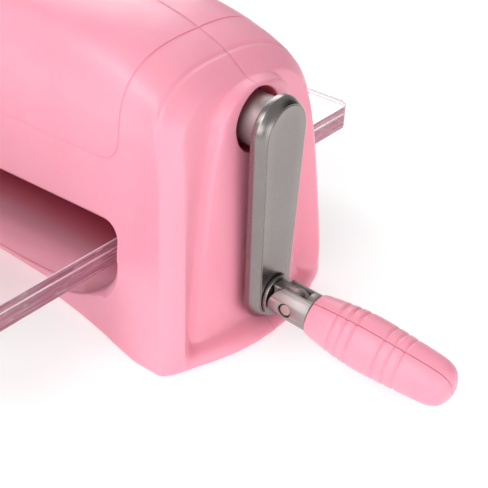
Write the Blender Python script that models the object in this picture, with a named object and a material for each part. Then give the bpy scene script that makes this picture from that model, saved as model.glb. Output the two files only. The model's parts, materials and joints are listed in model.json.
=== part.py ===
# Hand cranked die cutting machine: two plates are fed between two geared rollers in a moulded housing.
# Metres, +Z up. X runs along the rollers towards the crank, Y along the feed.
# The origin is the centre of the base plate's underside.

import math

import bmesh
import bpy
from mathutils import Matrix, Vector

# Plates, and the nip that they are fed through
PLATE_WIDTH = 0.155
PLATE_LENGTH = 0.260
PLATE_CORNER_R = 0.006
CUTTING_PLATE_T = 0.0038
PLATFORM_PLATE_T = 0.0079
PLATE_SIDE_ROOM = 0.0025
ROLLER_PLATE_GAP = 0.00025
TOUCH_GAP = 0.0003
RUNNING_GAP = 0.00025

# Gears and shafts
GEAR_MODULE = 0.00125
ROLLER_TEETH = 26
DRIVE_TEETH = 50
PINION_TEETH = 15
PRESSURE_ANGLE = math.radians(20)
BACKLASH = 0.0003
GEAR_FACE = 0.006
GEAR_SIDE_GAP = 0.001
GEAR_FLOOR_GAP = 0.00105
SHAFT_R = 0.006
CRANK_SHAFT_R = 0.005
ROLLER_EDGE = 0.0006
SHAFT_END = 0.0012

# Frames, base and their fasteners
BASE_T = 0.0022
FOOT_HEIGHT = 0.0012
FOOT_R = 0.007
FOOT_STEM_R = 0.002
FRAME_T = 0.0025
FRAME_WALL_GAP = 0.0007
FRAME_HALF_DEPTH = 0.030
FRAME_SHOULDER = 0.020
FRAME_TOP_DEPTH = 0.022
FRAME_TOP_RISE = 0.005
FRAME_PEAK_DEPTH = 0.014
FRAME_PEAK_RISE = 0.011
FLANGE_REACH = 0.010
FRAME_SCREW_DEPTH = 0.024
BUSH_WALL = 0.002
BUSH_RIM = 0.0018
BUSH_RIM_T = 0.0006
TIE_R = 0.004
TIE_STUD_R = 0.0022
TIE_DEPTH = 0.023
TIE_TOP_RISE = 0.017
TIE_FLOOR_RISE = 0.0078
NUT_R = 0.0042
NUT_T = 0.0025
POST_R = 0.0035
POST_DEPTH = 0.017
POST_RISE = 0.0045
POST_STUD_R = 0.0020
POST_FOOT_DEPTH = 0.0265
POST_FOOT_RISE = 0.00125
FOOT_SPREAD = 0.0095
FOOT_DEPTH = 0.036
BOSS_SPREAD = 0.0135
BOSS_DEPTH = 0.0445
SCREW_R = 0.0015
SCREW_HEAD_R = 0.0030
SCREW_HEAD_T = 0.0014
SCREW_LENGTH = 0.011

# Moulded housing
WALL = 0.0026
LINER_T = 0.0020
SEAM_GAP = 0.0003
DRUM_RISE = 0.0366
DRUM_HALF_DEPTH = 0.0455
END_MARGIN = 0.0244
SKIRT_HEIGHT = 0.014
MOUTH_SIDE_ROOM = 0.0048
MOUTH_HEADROOM = 0.0096
SILL_DROP = 0.0015
SILL_FOOT = 0.0035
SILL_NOSE = 0.0290
SILL_SPREAD = 0.0070
MOUTH_REACH = 0.0700
ROLLER_CLEARANCE = 0.0015
HOUSING_HOLE_R = 0.0133
BOSS_R = 0.0042
BOSS_HEIGHT = 0.016

# Crank and folding handle
HUB_R = 0.01065
HUB_INNER_GAP = 0.0022
ARM_STANDOFF = 0.0073
ARM_T = 0.0068
ARM_REACH = 0.0748
ARM_TOP_R = 0.0150
ARM_FOOT_R = 0.0122
ARM_TOP_DROP = 0.0022
ARM_BEVEL = 0.0027
ARM_BEVEL_DEPTH = 0.0042
ARM_BACK_CHAMFER = 0.0006
COLLAR_R = 0.0090
COLLAR_T = 0.0018
PIN_R = 0.0025
PIN_HOLE_R = 0.0031
PIN_STANDOFF = 0.0105
TONGUE_T = 0.0060
TONGUE_R = 0.0064
FERRULE_R = 0.0081
FERRULE_LENGTH = 0.0102
CHEEK_GAP = 0.0004
DROOP = math.radians(4.8)
SPINDLE_R = 0.0030
GRIP_LENGTH = 0.0640
GRIP_R = 0.01165
RING_DEPTH = 0.0006
RING_WIDTH = 0.0022
RING_CLEARANCE = 0.0015
GRIP_SEAM_TILT = math.radians(27)
GRIP_NOSE_WALL = 0.0045
GRIP_STOP_ROOM = 0.0030
GRIP_STOP_R = 0.0046
GRIP_STOP_T = 0.0018

# How far a cutter runs past what it cuts
OVERRUN = 0.002

# Shares of a gear's module, its flanks and its web, and where the crank comes out of the end
TIP_SHARE = 0.95
ROOT_SHARE = 1.25
FLANK_STEP_SHARES = (0.0, 0.5, 1.0)
WEB_SHARE = 0.60
WEB_HOLE_SHARE = 0.17
HOUSING_FACE_SHARE = 0.677

# Heights of the axes, worked out from the gears and the plates
ROLLER_GEAR_DISTANCE = GEAR_MODULE * ROLLER_TEETH
DRIVE_DISTANCE = GEAR_MODULE * (DRIVE_TEETH + PINION_TEETH) / 2
STACK_T = CUTTING_PLATE_T + TOUCH_GAP + PLATFORM_PLATE_T
ROLLER_R = (ROLLER_GEAR_DISTANCE - STACK_T) / 2 - ROLLER_PLATE_GAP
LOWER_Z = BASE_T + GEAR_FLOOR_GAP + GEAR_MODULE * (ROLLER_TEETH + 2) / 2
UPPER_Z = LOWER_Z + ROLLER_GEAR_DISTANCE
CRANK_Z = UPPER_Z + DRIVE_DISTANCE
PLATE_BOTTOM_Z = LOWER_Z + ROLLER_R + ROLLER_PLATE_GAP
PLATE_TOP_Z = PLATE_BOTTOM_Z + STACK_T

# Stations along X, from the middle out to the crank
ROLLER_HALF = PLATE_WIDTH / 2 + PLATE_SIDE_ROOM
MOUTH_HALF = PLATE_WIDTH / 2 + MOUTH_SIDE_ROOM
FRAME_X = MOUTH_HALF + LINER_T + FRAME_WALL_GAP
FRAME_OUT_X = FRAME_X + FRAME_T
ROLLER_GEAR_X = FRAME_OUT_X + GEAR_SIDE_GAP
DRIVE_GEAR_X = ROLLER_GEAR_X + GEAR_FACE + GEAR_SIDE_GAP
OUTER_PLATE_X = DRIVE_GEAR_X + GEAR_FACE + GEAR_SIDE_GAP
OUTER_PLATE_OUT_X = OUTER_PLATE_X + FRAME_T
END_X = OUTER_PLATE_OUT_X + END_MARGIN
END_LENGTH = END_X - MOUTH_HALF

ARM_X = MOUTH_HALF + HOUSING_FACE_SHARE * END_LENGTH + ARM_STANDOFF
ARM_OUT_X = ARM_X + ARM_T

# Where the base's screws and feet stand
FOOT_X = FRAME_X + FOOT_SPREAD
BOSS_X = FRAME_X + BOSS_SPREAD

# The mouth, from the roller out to the face
MOUTH_TOP_Z = PLATE_TOP_Z + MOUTH_HEADROOM
SILL_Z = PLATE_BOTTOM_Z - SILL_DROP
MOUTH_IN_Y = ROLLER_R + ROLLER_CLEARANCE

# Outlines of the housing, as shares chosen by hand. Each row is one ring over the housing, from the crown on
# the seam down the front to the base: X at the crown, the spring, the skirt's top and the base (shares of
# MOUTH_HALF up to 1, then 1 + a share of END_LENGTH), the crown's height over the crank (of DRUM_RISE), the
# depths at the spring, the skirt's top and the base (of DRUM_HALF_DEPTH), the spring's height (of CRANK_Z),
# the arch's roundness at the front and at the rear, the flare down the side, and how much of a hem it has.
DRUM_RING_SHARES = (
    (0.00, 0.00, 0.00, 0.00, 1.000, 1.000, 0.950, 0.835, 0.94, 3.1, 2.7, 4.0, 0.0),
    (0.49, 0.49, 0.49, 0.49, 0.981, 1.000, 0.960, 0.900, 0.94, 3.1, 2.7, 4.0, 0.0),
    (0.73, 0.73, 0.73, 0.73, 0.943, 1.000, 0.990, 0.976, 0.94, 3.1, 2.7, 4.0, 0.0),
    (0.90, 0.90, 0.90, 0.90, 0.867, 1.000, 1.020, 1.046, 0.94, 3.1, 2.7, 4.0, 0.0),
    (1.015, 1.025, 1.030, 1.036, 0.790, 1.000, 1.045, 1.108, 0.94, 3.1, 2.7, 4.0, 0.0),
    (1.185, 1.268, 1.330, 1.365, 0.722, 1.000, 1.140, 1.193, 0.94, 3.0, 2.55, 1.5, 0.0),
    (1.323, 1.468, 1.657, 1.673, 0.643, 1.024, 1.197, 1.205, 0.94, 2.9, 2.15, 0.70, 0.0),
    (1.422, 1.536, 1.721, 1.733, 0.547, 0.963, 1.121, 1.124, 0.94, 3.0, 2.0, 0.72, 0.0),
    (1.524, 1.599, 1.779, 1.785, 0.446, 0.869, 1.011, 0.997, 0.94, 3.2, 2.0, 0.72, 0.3),
)
SHIELD_RING_SHARES = (
    (1.548, 1.573, 1.635, 1.824, 0.424, 0.530, 0.802, 0.868, 1.00, 2.3, 2.3, 0.62, 1.0),
    (1.652, 1.652, 1.664, 1.855, 0.402, 0.490, 0.768, 0.791, 1.00, 2.3, 2.3, 0.62, 1.0),
    (1.677, 1.677, 1.692, 1.885, 0.380, 0.457, 0.735, 0.703, 1.00, 2.3, 2.3, 0.62, 1.0),
    (1.677, 1.677, 1.724, 1.949, 0.250, 0.302, 0.485, 0.483, 1.00, 2.3, 2.3, 0.62, 1.0),
    (1.677, 1.677, 1.744, 1.989, 0.125, 0.151, 0.242, 0.242, 1.00, 2.3, 2.3, 0.62, 1.0),
    (1.677, 1.677, 1.750, 2.000, 0.000, 0.000, 0.000, 0.000, 1.00, 2.3, 2.3, 0.62, 1.0),
)
CAVITY_END_SHARES = (
    (1.475, 1.495, 1.560, 1.700, 0.375, 0.755, 0.790, 0.900, 0.92, 3.5, 2.45, 3.0, 0.0),
    (1.545, 1.548, 1.590, 1.760, 0.335, 0.480, 0.720, 0.760, 1.00, 2.3, 2.3, 0.62, 0.0),
    (1.545, 1.548, 1.600, 1.860, 0.160, 0.240, 0.360, 0.380, 1.00, 2.3, 2.3, 0.62, 0.0),
    (1.545, 1.548, 1.605, 1.900, 0.000, 0.000, 0.000, 0.000, 1.00, 2.3, 2.3, 0.62, 0.0),
)
# Shares of a quarter turn at which an arch is sampled, and of the side's height
ARCH_STEP_SHARES = (0.0, 0.10, 0.22, 0.35, 0.50, 0.65, 0.80, 1.0)
SIDE_STEP_SHARES = (0.2, 0.42, 0.62, 0.80, 1.0)
# The skirt: shares of its run outwards and of its height, plain and with the hem
PLAIN_SKIRT_SHARES = ((0.14, 0.70), (0.42, 0.42), (0.74, 0.20), (0.92, 0.08), (1.0, 0.0))
HEM_SKIRT_SHARES = ((0.22, 0.50), (0.42, 0.42), (0.78, 0.31), (0.97, 0.14), (1.0, 0.0))
# The mouth from its middle to its end: share of its half width, then how high its roof and how deep its
# floor are there, as shares of their full reach from the plates' middle
MOUTH_SHARES = (
    (0.000, 1.00, 1.00), (0.450, 1.00, 0.96), (0.700, 1.00, 0.83), (0.850, 1.00, 0.68), (0.915, 1.00, 0.54),
    (0.960, 0.93, 0.35), (0.986, 0.74, 0.20), (1.000, 0.25, 0.05),
)
NOSE_STEP_SHARES = (0.0, 0.2, 0.4, 0.6, 0.8, 0.94, 1.0)

# The grip: shares of its length and of its radius, and where its rings lie
GRIP_PROFILE_SHARES = (
    (0.000, 0.735), (0.010, 0.775), (0.075, 0.835), (0.170, 0.915), (0.270, 0.975), (0.370, 1.000),
    (0.470, 0.995), (0.580, 0.965), (0.700, 0.920), (0.800, 0.885), (0.880, 0.850), (0.930, 0.780),
    (0.968, 0.640), (0.990, 0.450), (1.000, 0.300),
)
GRIP_RING_SHARES = (0.190, 0.258, 0.328, 0.530, 0.602, 0.674)

# How many of the drum's rings the cavity follows at a wall's distance
CAVITY_DRUM_RINGS = 6

# Numbers of facets, and the turns that lay a piece's own Z along another axis. ACROSS_X also sets its X
# pointing up.
TURN = 2 * math.pi
SEGMENTS = 24
BUSH_SEGMENTS = 16
SMALL_SEGMENTS = 12
GRIP_SEGMENTS = 10
ARM_STEPS = 12
TONGUE_STEPS = 12
ALONG_X = (0, math.pi / 2, 0)
AGAINST_X = (0, -math.pi / 2, 0)
ACROSS_X = (0, -math.pi / 2, math.pi)
ALONG_Y = (math.pi / 2, 0, 0)


# Materials

def material(name, colour, roughness, metallic=0.0, alpha=1.0):
    made = bpy.data.materials.new(name)
    made.use_nodes = True
    shader = made.node_tree.nodes["Principled BSDF"]
    shader.inputs["Base Color"].default_value = (*colour, 1.0)
    shader.inputs["Roughness"].default_value = roughness
    shader.inputs["Metallic"].default_value = metallic
    shader.inputs["Alpha"].default_value = alpha
    return made


def make_materials():
    return {
        "pink_plastic": material("pink_plastic", (1.0, 0.41, 0.51), 0.35),
        "satin_metal": material("satin_metal", (0.42, 0.39, 0.37), 0.38, 0.9),
        "roller_steel": material("roller_steel", (0.60, 0.60, 0.61), 0.28, 1.0),
        "gear_steel": material("gear_steel", (0.33, 0.33, 0.34), 0.42, 1.0),
        "frame_steel": material("frame_steel", (0.50, 0.51, 0.52), 0.45, 0.9),
        "bronze": material("bronze", (0.55, 0.36, 0.16), 0.40, 1.0),
        "black_plastic": material("black_plastic", (0.02, 0.02, 0.02), 0.55),
        "rubber": material("rubber", (0.03, 0.03, 0.03), 0.85),
        "clear_acrylic": material("clear_acrylic", (0.93, 0.91, 0.92), 0.05, 0.0, 0.35),
    }


# Helpers that turn meshes into named objects

def new_object(name, mesh_maker, finish=None, parent=None, at=(0, 0, 0), turn=(0, 0, 0)):
    mesh = bpy.data.meshes.new(name)
    bm = bmesh.new()
    mesh_maker(bm)
    bm.to_mesh(mesh)
    bm.free()
    made = bpy.data.objects.new(name, mesh)
    bpy.context.scene.collection.objects.link(made)
    made.location = at
    made.rotation_euler = turn
    if parent is not None:
        made.parent = parent
    if finish is not None:
        mesh.materials.append(finish)
        mesh.shade_smooth()
        mesh.set_sharp_from_angle(angle=math.radians(32))
    return made


def cutter(name, mesh_maker, parent=None, at=(0, 0, 0), turn=(0, 0, 0)):
    made = new_object(name, mesh_maker, None, parent, at, turn)
    made.hide_render = True
    made.display_type = "WIRE"
    return made


def boolean(target, operation, other):
    step = target.modifiers.new(f"{operation.lower()} {other.name}", "BOOLEAN")
    step.operation = operation
    step.object = other
    step.solver = "EXACT"


def empty(name, at, parent=None, turn=(0, 0, 0)):
    made = bpy.data.objects.new(name, None)
    bpy.context.scene.collection.objects.link(made)
    made.location = at
    made.rotation_euler = turn
    if parent is not None:
        made.parent = parent
    return made


# Shapes

def circle(radius, centre=(0, 0), segments=SEGMENTS):
    steps = (TURN * i / segments for i in range(segments))
    return [(centre[0] + radius * math.cos(a), centre[1] + radius * math.sin(a)) for a in steps]


def rounded_rectangle(half_x, half_y, radius, steps=5):
    points = []
    for turn, (side_x, side_y) in enumerate(((1, 1), (-1, 1), (-1, -1), (1, -1))):
        for i in range(steps + 1):
            angle = (turn + i / steps) * math.pi / 2
            x = side_x * (half_x - radius) + radius * math.cos(angle)
            y = side_y * (half_y - radius) + radius * math.sin(angle)
            points.append((x, y))
    return points


def slab(outline, holes, thickness, low=0.0):
    """A flat piece of any outline with holes through it, from low up to low + thickness along its Z."""
    def make(bm):
        edges = []
        for loop in (outline, *holes):
            ring = [bm.verts.new((x, y, low)) for x, y in loop]
            edges += [bm.edges.new((ring[i - 1], ring[i])) for i in range(len(ring))]
        filled = bmesh.ops.triangle_fill(bm, use_beauty=True, edges=edges)
        faces = [face for face in filled["geom"] if isinstance(face, bmesh.types.BMFace)]
        grown = bmesh.ops.extrude_face_region(bm, geom=faces)
        raised = [vert for vert in grown["geom"] if isinstance(vert, bmesh.types.BMVert)]
        bmesh.ops.translate(bm, verts=raised, vec=(0, 0, thickness))
        bmesh.ops.recalc_face_normals(bm, faces=bm.faces)
    return make


def loft(sections, capped=True):
    """A closed skin through loops that all have as many points."""
    def make(bm):
        rings = [[bm.verts.new(point) for point in section] for section in sections]
        for one, other in zip(rings, rings[1:]):
            for i in range(len(one)):
                bm.faces.new((one[i - 1], one[i], other[i], other[i - 1]))
        if capped:
            bm.faces.new(rings[0])
            bm.faces.new(rings[-1])
        bmesh.ops.recalc_face_normals(bm, faces=bm.faces)
    return make


def turned(profile, segments=SEGMENTS):
    """A piece turned about Z from (radius, height) points. A profile that ends off the axis is closed."""
    def make(bm):
        rings = []
        for radius, height in profile:
            if radius == 0:
                rings.append([bm.verts.new((0, 0, height))])
                continue
            rings.append([bm.verts.new((x, y, height)) for x, y in circle(radius, (0, 0), segments)])
        pairs = list(zip(rings, rings[1:]))
        if profile[0][0] != 0:
            pairs.append((rings[-1], rings[0]))
        for one, other in pairs:
            for i in range(segments):
                if len(one) == len(other) == 1:
                    break
                corners = [one[i - 1], one[i]] if len(one) > 1 else [one[0]]
                corners += [other[i], other[i - 1]] if len(other) > 1 else [other[0]]
                bm.faces.new(corners)
        bmesh.ops.recalc_face_normals(bm, faces=bm.faces)
    return make


def rod(radius, low, high):
    return [(0, low), (radius, low), (radius, high), (0, high)]


def mirrored(maker, axis):
    """The same shape turned over across a plane through the origin."""
    def make(bm):
        maker(bm)
        scale = [1, 1, 1]
        scale[axis] = -1
        bmesh.ops.scale(bm, vec=scale, verts=bm.verts)
        bmesh.ops.reverse_faces(bm, faces=bm.faces)
    return make


# The moulded housing

def station(share):
    return share * MOUTH_HALF if share <= 1 else MOUTH_HALF + (share - 1) * END_LENGTH


def ring_points(row, side, inset=0.0):
    """Points of one ring over half the housing, from its crown on the seam down to the base.

    They are drawn on the front's side of the seam. side is -1 for the front half and 1 for the rear half.
    """
    x_crown, x_spring, x_low, x_base = (station(share) for share in row[:4])
    rise, depth, low_depth, base_depth, spring, front, rear, flare, hem = row[4:]
    roundness = front if side < 0 else rear
    spring_z = spring * CRANK_Z
    crown_z = CRANK_Z + rise * DRUM_RISE - inset
    depths = [max(share * DRUM_HALF_DEPTH - inset, 0) for share in (depth, low_depth, base_depth)]
    points = []
    for step in ARCH_STEP_SHARES:
        across = math.sin(step * math.pi / 2) ** (2 / roundness)
        up = math.cos(step * math.pi / 2) ** (2 / roundness) if step < 1 else 0
        x = x_spring + (x_crown - x_spring) * up
        points.append((x, -depths[0] * across, spring_z + (crown_z - spring_z) * up))
    for step in SIDE_STEP_SHARES:
        part = step ** flare
        x = x_spring + (x_low - x_spring) * part
        y = depths[0] + (depths[1] - depths[0]) * part
        points.append((x, -y, spring_z + (SKIRT_HEIGHT - spring_z) * step))
    for (plain_run, plain_up), (hem_run, hem_up) in zip(PLAIN_SKIRT_SHARES, HEM_SKIRT_SHARES):
        run = plain_run + (hem_run - plain_run) * hem
        up = plain_up + (hem_up - plain_up) * hem
        x = x_low + (x_base - x_low) * run
        y = depths[1] + (depths[2] - depths[1]) * run
        points.append((x, -y, SKIRT_HEIGHT * up))
    return points


def both_ends(rings):
    """Rings from the middle out, with their mirror images on the other side."""
    left = [[(-x, y, z) for x, y, z in ring] for ring in reversed(rings[1:])]
    return left + rings


def half_skin(rings, seam_y, floor_z):
    """The closed solid under the rings, from the base at floor_z to the flat seam at seam_y."""
    rings = [
        [(ring[0][0], seam_y, ring[0][2]), *ring, (ring[-1][0], ring[-1][1], floor_z)]
        for ring in rings
    ]
    first, last = ([(x, seam_y, z) for x, y, z in rings[i]] for i in (0, -1))
    rings = [first, *rings, last]

    def make(bm):
        grid = [[bm.verts.new(point) for point in ring] for ring in rings]
        for one, other in zip(grid, grid[1:]):
            for i in range(len(one) - 1):
                bm.faces.new((one[i], one[i + 1], other[i + 1], other[i]))
        seam = [ring[0] for ring in grid] + grid[-1][1:]
        seam += list(reversed(grid[0][1:]))
        bm.faces.new(seam)
        bm.faces.new([ring[-1] for ring in grid])
        bmesh.ops.remove_doubles(bm, verts=bm.verts, dist=TOUCH_GAP / 100)
        bmesh.ops.dissolve_degenerate(bm, edges=bm.edges, dist=TOUCH_GAP / 100)
        bmesh.ops.triangulate(bm, faces=bm.faces)
        bmesh.ops.recalc_face_normals(bm, faces=bm.faces)
    return make


def outer_rings(side):
    return both_ends([ring_points(row, side) for row in DRUM_RING_SHARES + SHIELD_RING_SHARES])


def cavity_rings(side):
    drum = [ring_points(row, side, WALL) for row in DRUM_RING_SHARES[:CAVITY_DRUM_RINGS]]
    return both_ends(drum + [ring_points(row, side) for row in CAVITY_END_SHARES])


def mouth_sections(grow, inner_y):
    """Cross-sections of the mouth along X: its floor climbs from the base to the sill and from each end."""
    roof = MOUTH_TOP_Z + grow
    foot = max(SILL_FOOT - grow, BASE_T + TOUCH_GAP)
    middle = (PLATE_TOP_Z + PLATE_BOTTOM_Z) / 2
    sections = []
    for across, high, deep in MOUTH_SHARES:
        nose = SILL_NOSE + SILL_SPREAD * across ** 2 - grow
        lowest = middle - (middle - foot) * deep
        points = [(inner_y, SILL_Z - grow)]
        for step in NOSE_STEP_SHARES:
            angle = step * math.pi / 2
            y = MOUTH_IN_Y + nose * math.sin(angle)
            points.append((y, foot + (SILL_Z - SILL_FOOT) * math.cos(angle)))
        points = [(y, max(z, lowest)) for y, z in points]
        points.append((MOUTH_REACH, points[-1][1]))
        top = middle + (roof - middle) * high
        points += [(MOUTH_REACH, top), (inner_y, top)]
        sections.append([(across * (MOUTH_HALF + grow), -y, z) for y, z in points])
    return both_ends(sections)


def cylinders(places, radius, low, high):
    """Upright cylinders at several places, as one cutter."""
    def make(bm):
        for x, y in places:
            turn = Matrix.Translation((x, y, (low + high) / 2))
            bmesh.ops.create_cone(bm, cap_ends=True, segments=SEGMENTS // 2, radius1=radius, radius2=radius,
                                  depth=high - low, matrix=turn)
    return make


def boss_places():
    """Where the housing's screws stand at the front, beside each end of the mouth."""
    return [(side * BOSS_X, -BOSS_DEPTH) for side in (-1, 1)]


def make_housing(name, side, finish):
    """One half of the housing. side is -1 for the front and 1 for the rear."""
    flip = (lambda maker: maker) if side < 0 else (lambda maker: mirrored(maker, 1))
    shift = (0, side * SEAM_GAP / 2, 0)
    shell = new_object(name, flip(half_skin(outer_rings(side), 0, 0)), finish, at=shift)
    cavity = cutter(f"{name}_cavity", flip(half_skin(cavity_rings(side), OVERRUN, -OVERRUN)), at=shift)
    liner = cutter(f"{name}_liner", flip(loft(mouth_sections(LINER_T, MOUTH_IN_Y))), at=shift)
    mouth = cutter(f"{name}_mouth", flip(loft(mouth_sections(0, MOUTH_IN_Y - OVERRUN))), at=shift)
    places = boss_places()
    bosses = cutter(f"{name}_bosses", flip(cylinders(places, BOSS_R, BASE_T + TOUCH_GAP, BOSS_HEIGHT)))
    holes = cutter(f"{name}_screw_holes", flip(cylinders(places, SCREW_R + RUNNING_GAP, -OVERRUN,
                                                         SCREW_LENGTH + TOUCH_GAP)))
    hole = cutter(f"{name}_crank_hole", turned(rod(HOUSING_HOLE_R, OUTER_PLATE_X, END_X), 2 * SEGMENTS),
                  at=(0, 0, CRANK_Z), turn=ALONG_X)
    boolean(cavity, "DIFFERENCE", liner)
    boolean(cavity, "DIFFERENCE", bosses)
    boolean(shell, "DIFFERENCE", cavity)
    boolean(shell, "DIFFERENCE", mouth)
    boolean(shell, "DIFFERENCE", hole)
    boolean(shell, "DIFFERENCE", holes)
    return shell


# Gears, rollers and the shafts that carry them

def involute_half_angle(radius, base_r, teeth):
    """Half the angle that a tooth fills at a radius."""
    def involute(angle):
        return math.tan(angle) - angle
    pitch_r = GEAR_MODULE * teeth / 2
    thickness = math.pi * GEAR_MODULE / 2 - BACKLASH
    at_radius = math.acos(min(base_r / radius, 1))
    return thickness / (2 * pitch_r) + involute(PRESSURE_ANGLE) - involute(at_radius)


def gear_outline(teeth, phase):
    """A spur gear's outline. phase turns it by that share of a tooth's pitch."""
    pitch_r = GEAR_MODULE * teeth / 2
    base_r = pitch_r * math.cos(PRESSURE_ANGLE)
    tip_r = pitch_r + GEAR_MODULE * TIP_SHARE
    root_r = pitch_r - GEAR_MODULE * ROOT_SHARE
    flank_r = max(base_r, root_r)
    flank = [flank_r + (tip_r - flank_r) * share for share in FLANK_STEP_SHARES]
    half_angles = [involute_half_angle(radius, base_r, teeth) for radius in flank]
    points = []
    for tooth in range(teeth):
        middle = TURN * (tooth + phase) / teeth
        rising = list(zip(flank, half_angles))
        if root_r < flank_r:
            rising.insert(0, (root_r, half_angles[0]))
        for radius, half in rising:
            points.append((radius * math.cos(middle - half), radius * math.sin(middle - half)))
        for radius, half in reversed(rising):
            points.append((radius * math.cos(middle + half), radius * math.sin(middle + half)))
    return points


def make_gear(name, teeth, bore_r, x, axis, phase, finish, lightening=0):
    """A gear across X on an axis. Its outline is drawn with the first tooth pointing up."""
    holes = [circle(bore_r)]
    if lightening:
        pitch_r = GEAR_MODULE * teeth / 2
        for i in range(lightening):
            angle = TURN * i / lightening
            centre = (pitch_r * WEB_SHARE * math.cos(angle), pitch_r * WEB_SHARE * math.sin(angle))
            holes.append(circle(pitch_r * WEB_HOLE_SHARE, centre, SEGMENTS // 2))
    outline = gear_outline(teeth, phase)
    return new_object(name, slab(outline, holes, GEAR_FACE), finish, axis, (x, 0, 0), ACROSS_X)


def make_roller(name, parent, journal_out, finish):
    """A roller: a wide barrel with a journal at each end, turned about X."""
    half, edge = ROLLER_HALF - RUNNING_GAP, ROLLER_R - ROLLER_EDGE
    left = FRAME_OUT_X + SHAFT_END
    profile = [
        (0, -left), (SHAFT_R, -left), (SHAFT_R, -half), (edge, -half),
        (ROLLER_R, -half + ROLLER_EDGE), (ROLLER_R, half - ROLLER_EDGE), (edge, half),
        (SHAFT_R, half), (SHAFT_R, journal_out), (0, journal_out),
    ]
    return new_object(name, turned(profile), finish, parent, turn=ALONG_X)


def make_bush(name, bore_r, x, z, side, finish):
    """A flanged bush in a frame whose near face is at x. side is where its rim lies."""
    body_r = bore_r + BUSH_WALL
    rim = FRAME_T + TOUCH_GAP
    profile = [
        (bore_r, 0), (body_r, 0), (body_r, rim), (body_r + BUSH_RIM, rim),
        (body_r + BUSH_RIM, rim + BUSH_RIM_T), (bore_r, rim + BUSH_RIM_T),
    ]
    turn = ALONG_X if side > 0 else AGAINST_X
    return new_object(name, turned(profile, BUSH_SEGMENTS), finish, at=(x, 0, z), turn=turn)


def studded(radius, stud_r, low, high, stud_low, stud_high):
    """A round bar from low to high with a thinner stud beyond each end."""
    return [
        (0, stud_low), (stud_r, stud_low), (stud_r, low), (radius, low),
        (radius, high), (stud_r, high), (stud_r, stud_high), (0, stud_high),
    ]


# Frames and base

def frame_outline(tall):
    """A side plate's outline as (height, depth) points, symmetric front to back."""
    foot = BASE_T + TOUCH_GAP + FRAME_T / 2
    shoulder = UPPER_Z + FRAME_SHOULDER
    top = CRANK_Z if tall else shoulder
    side = [(foot, FRAME_HALF_DEPTH), (shoulder, FRAME_HALF_DEPTH), (top + FRAME_TOP_RISE, FRAME_TOP_DEPTH),
            (top + FRAME_PEAK_RISE, FRAME_PEAK_DEPTH)]
    return side + [(z, -y) for z, y in reversed(side)]


def tie_places():
    """Height and depth of the four ties between the side frames."""
    heights = (BASE_T + TIE_FLOOR_RISE, UPPER_Z + TIE_TOP_RISE)
    return [(z, side * TIE_DEPTH) for z in heights for side in (-1, 1)]


def post_places():
    """Height and depth of the four posts that carry the outer gear plate."""
    places = ((LOWER_Z + POST_FOOT_RISE, POST_FOOT_DEPTH), (CRANK_Z + POST_RISE, POST_DEPTH))
    return [(z, side * y) for z, y in places for side in (-1, 1)]


def hole(radius, place, segments=SMALL_SEGMENTS):
    """A round hole in a plate across X, at (height, depth)."""
    return circle(radius, (place[0], -place[1]), segments)


def make_plate_across(name, outline, holes, x, finish):
    return new_object(name, slab(outline, holes, FRAME_T), finish, at=(x, 0, 0), turn=ACROSS_X)


def bush_hole(bore_r, z):
    return circle(bore_r + BUSH_WALL + TOUCH_GAP, (z, 0), BUSH_SEGMENTS)


def make_frames(finish):
    shaft_bore, crank_bore = SHAFT_R + RUNNING_GAP, CRANK_SHAFT_R + RUNNING_GAP
    ties = [hole(TIE_STUD_R + TOUCH_GAP, place) for place in tie_places()]
    posts = [hole(POST_STUD_R + TOUCH_GAP, place) for place in post_places()]
    rollers = [bush_hole(shaft_bore, z) for z in (LOWER_Z, UPPER_Z)]
    left = new_object("side_frame_left", slab(frame_outline(False), ties + rollers, FRAME_T), finish,
                      at=(-FRAME_X, 0, 0), turn=AGAINST_X)
    crank = [bush_hole(crank_bore, CRANK_Z)]
    right = make_plate_across("side_frame_right", frame_outline(True), ties + rollers + crank + posts,
                              FRAME_X, finish)
    outer = [bush_hole(shaft_bore, UPPER_Z), *crank, *posts]
    make_plate_across("gear_plate", frame_outline(True), outer, OUTER_PLATE_X, finish)
    middle_x = FRAME_X + FRAME_T / 4 - FLANGE_REACH / 2
    half_x, half_y = FRAME_T / 4 + FLANGE_REACH / 2, FRAME_HALF_DEPTH - FRAME_T / 2
    outline = [(-half_x, -half_y), (half_x, -half_y), (half_x, half_y), (-half_x, half_y)]
    inset = middle_x - (FRAME_X - FLANGE_REACH / 2)
    holes = [circle(SCREW_R + RUNNING_GAP, (-inset, y * FRAME_SCREW_DEPTH), SMALL_SEGMENTS) for y in (-1, 1)]
    for frame, side, turn in ((left, -1, math.pi), (right, 1, 0)):
        at = (side * middle_x, 0, BASE_T + TOUCH_GAP)
        flange = cutter(f"{frame.name}_flange", slab(outline, holes, FRAME_T), at=at, turn=(0, 0, turn))
        boolean(frame, "UNION", flange)


def at_height(ring, height):
    """Where a ring crosses a height on its way down to the base."""
    for (x, y, z), (next_x, next_y, next_z) in zip(ring, ring[1:]):
        if z >= height >= next_z and z > next_z:
            share = (z - height) / (z - next_z)
            return (x + (next_x - x) * share, y + (next_y - y) * share)
    return ring[-1][:2]


def drawn_in(outline, distance):
    """An outline moved inwards by a distance. Its points run anticlockwise."""
    moved = []
    for i, point in enumerate(outline):
        before, after = Vector(outline[i - 1]), Vector(outline[(i + 1) % len(outline)])
        along = (after - before).normalized()
        moved.append((point[0] - along.y * distance, point[1] + along.x * distance))
    return moved


def base_outline():
    """The base plate fills the housing's open underside."""
    front = [min((at_height(ring, z) for z in (0, BASE_T)), key=lambda p: math.hypot(*p))
             for ring in cavity_rings(-1)]
    rear = [(x, -y) for x, y in reversed(front[1:-1])]
    return drawn_in(front + rear, SEAM_GAP + TOUCH_GAP)


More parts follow.
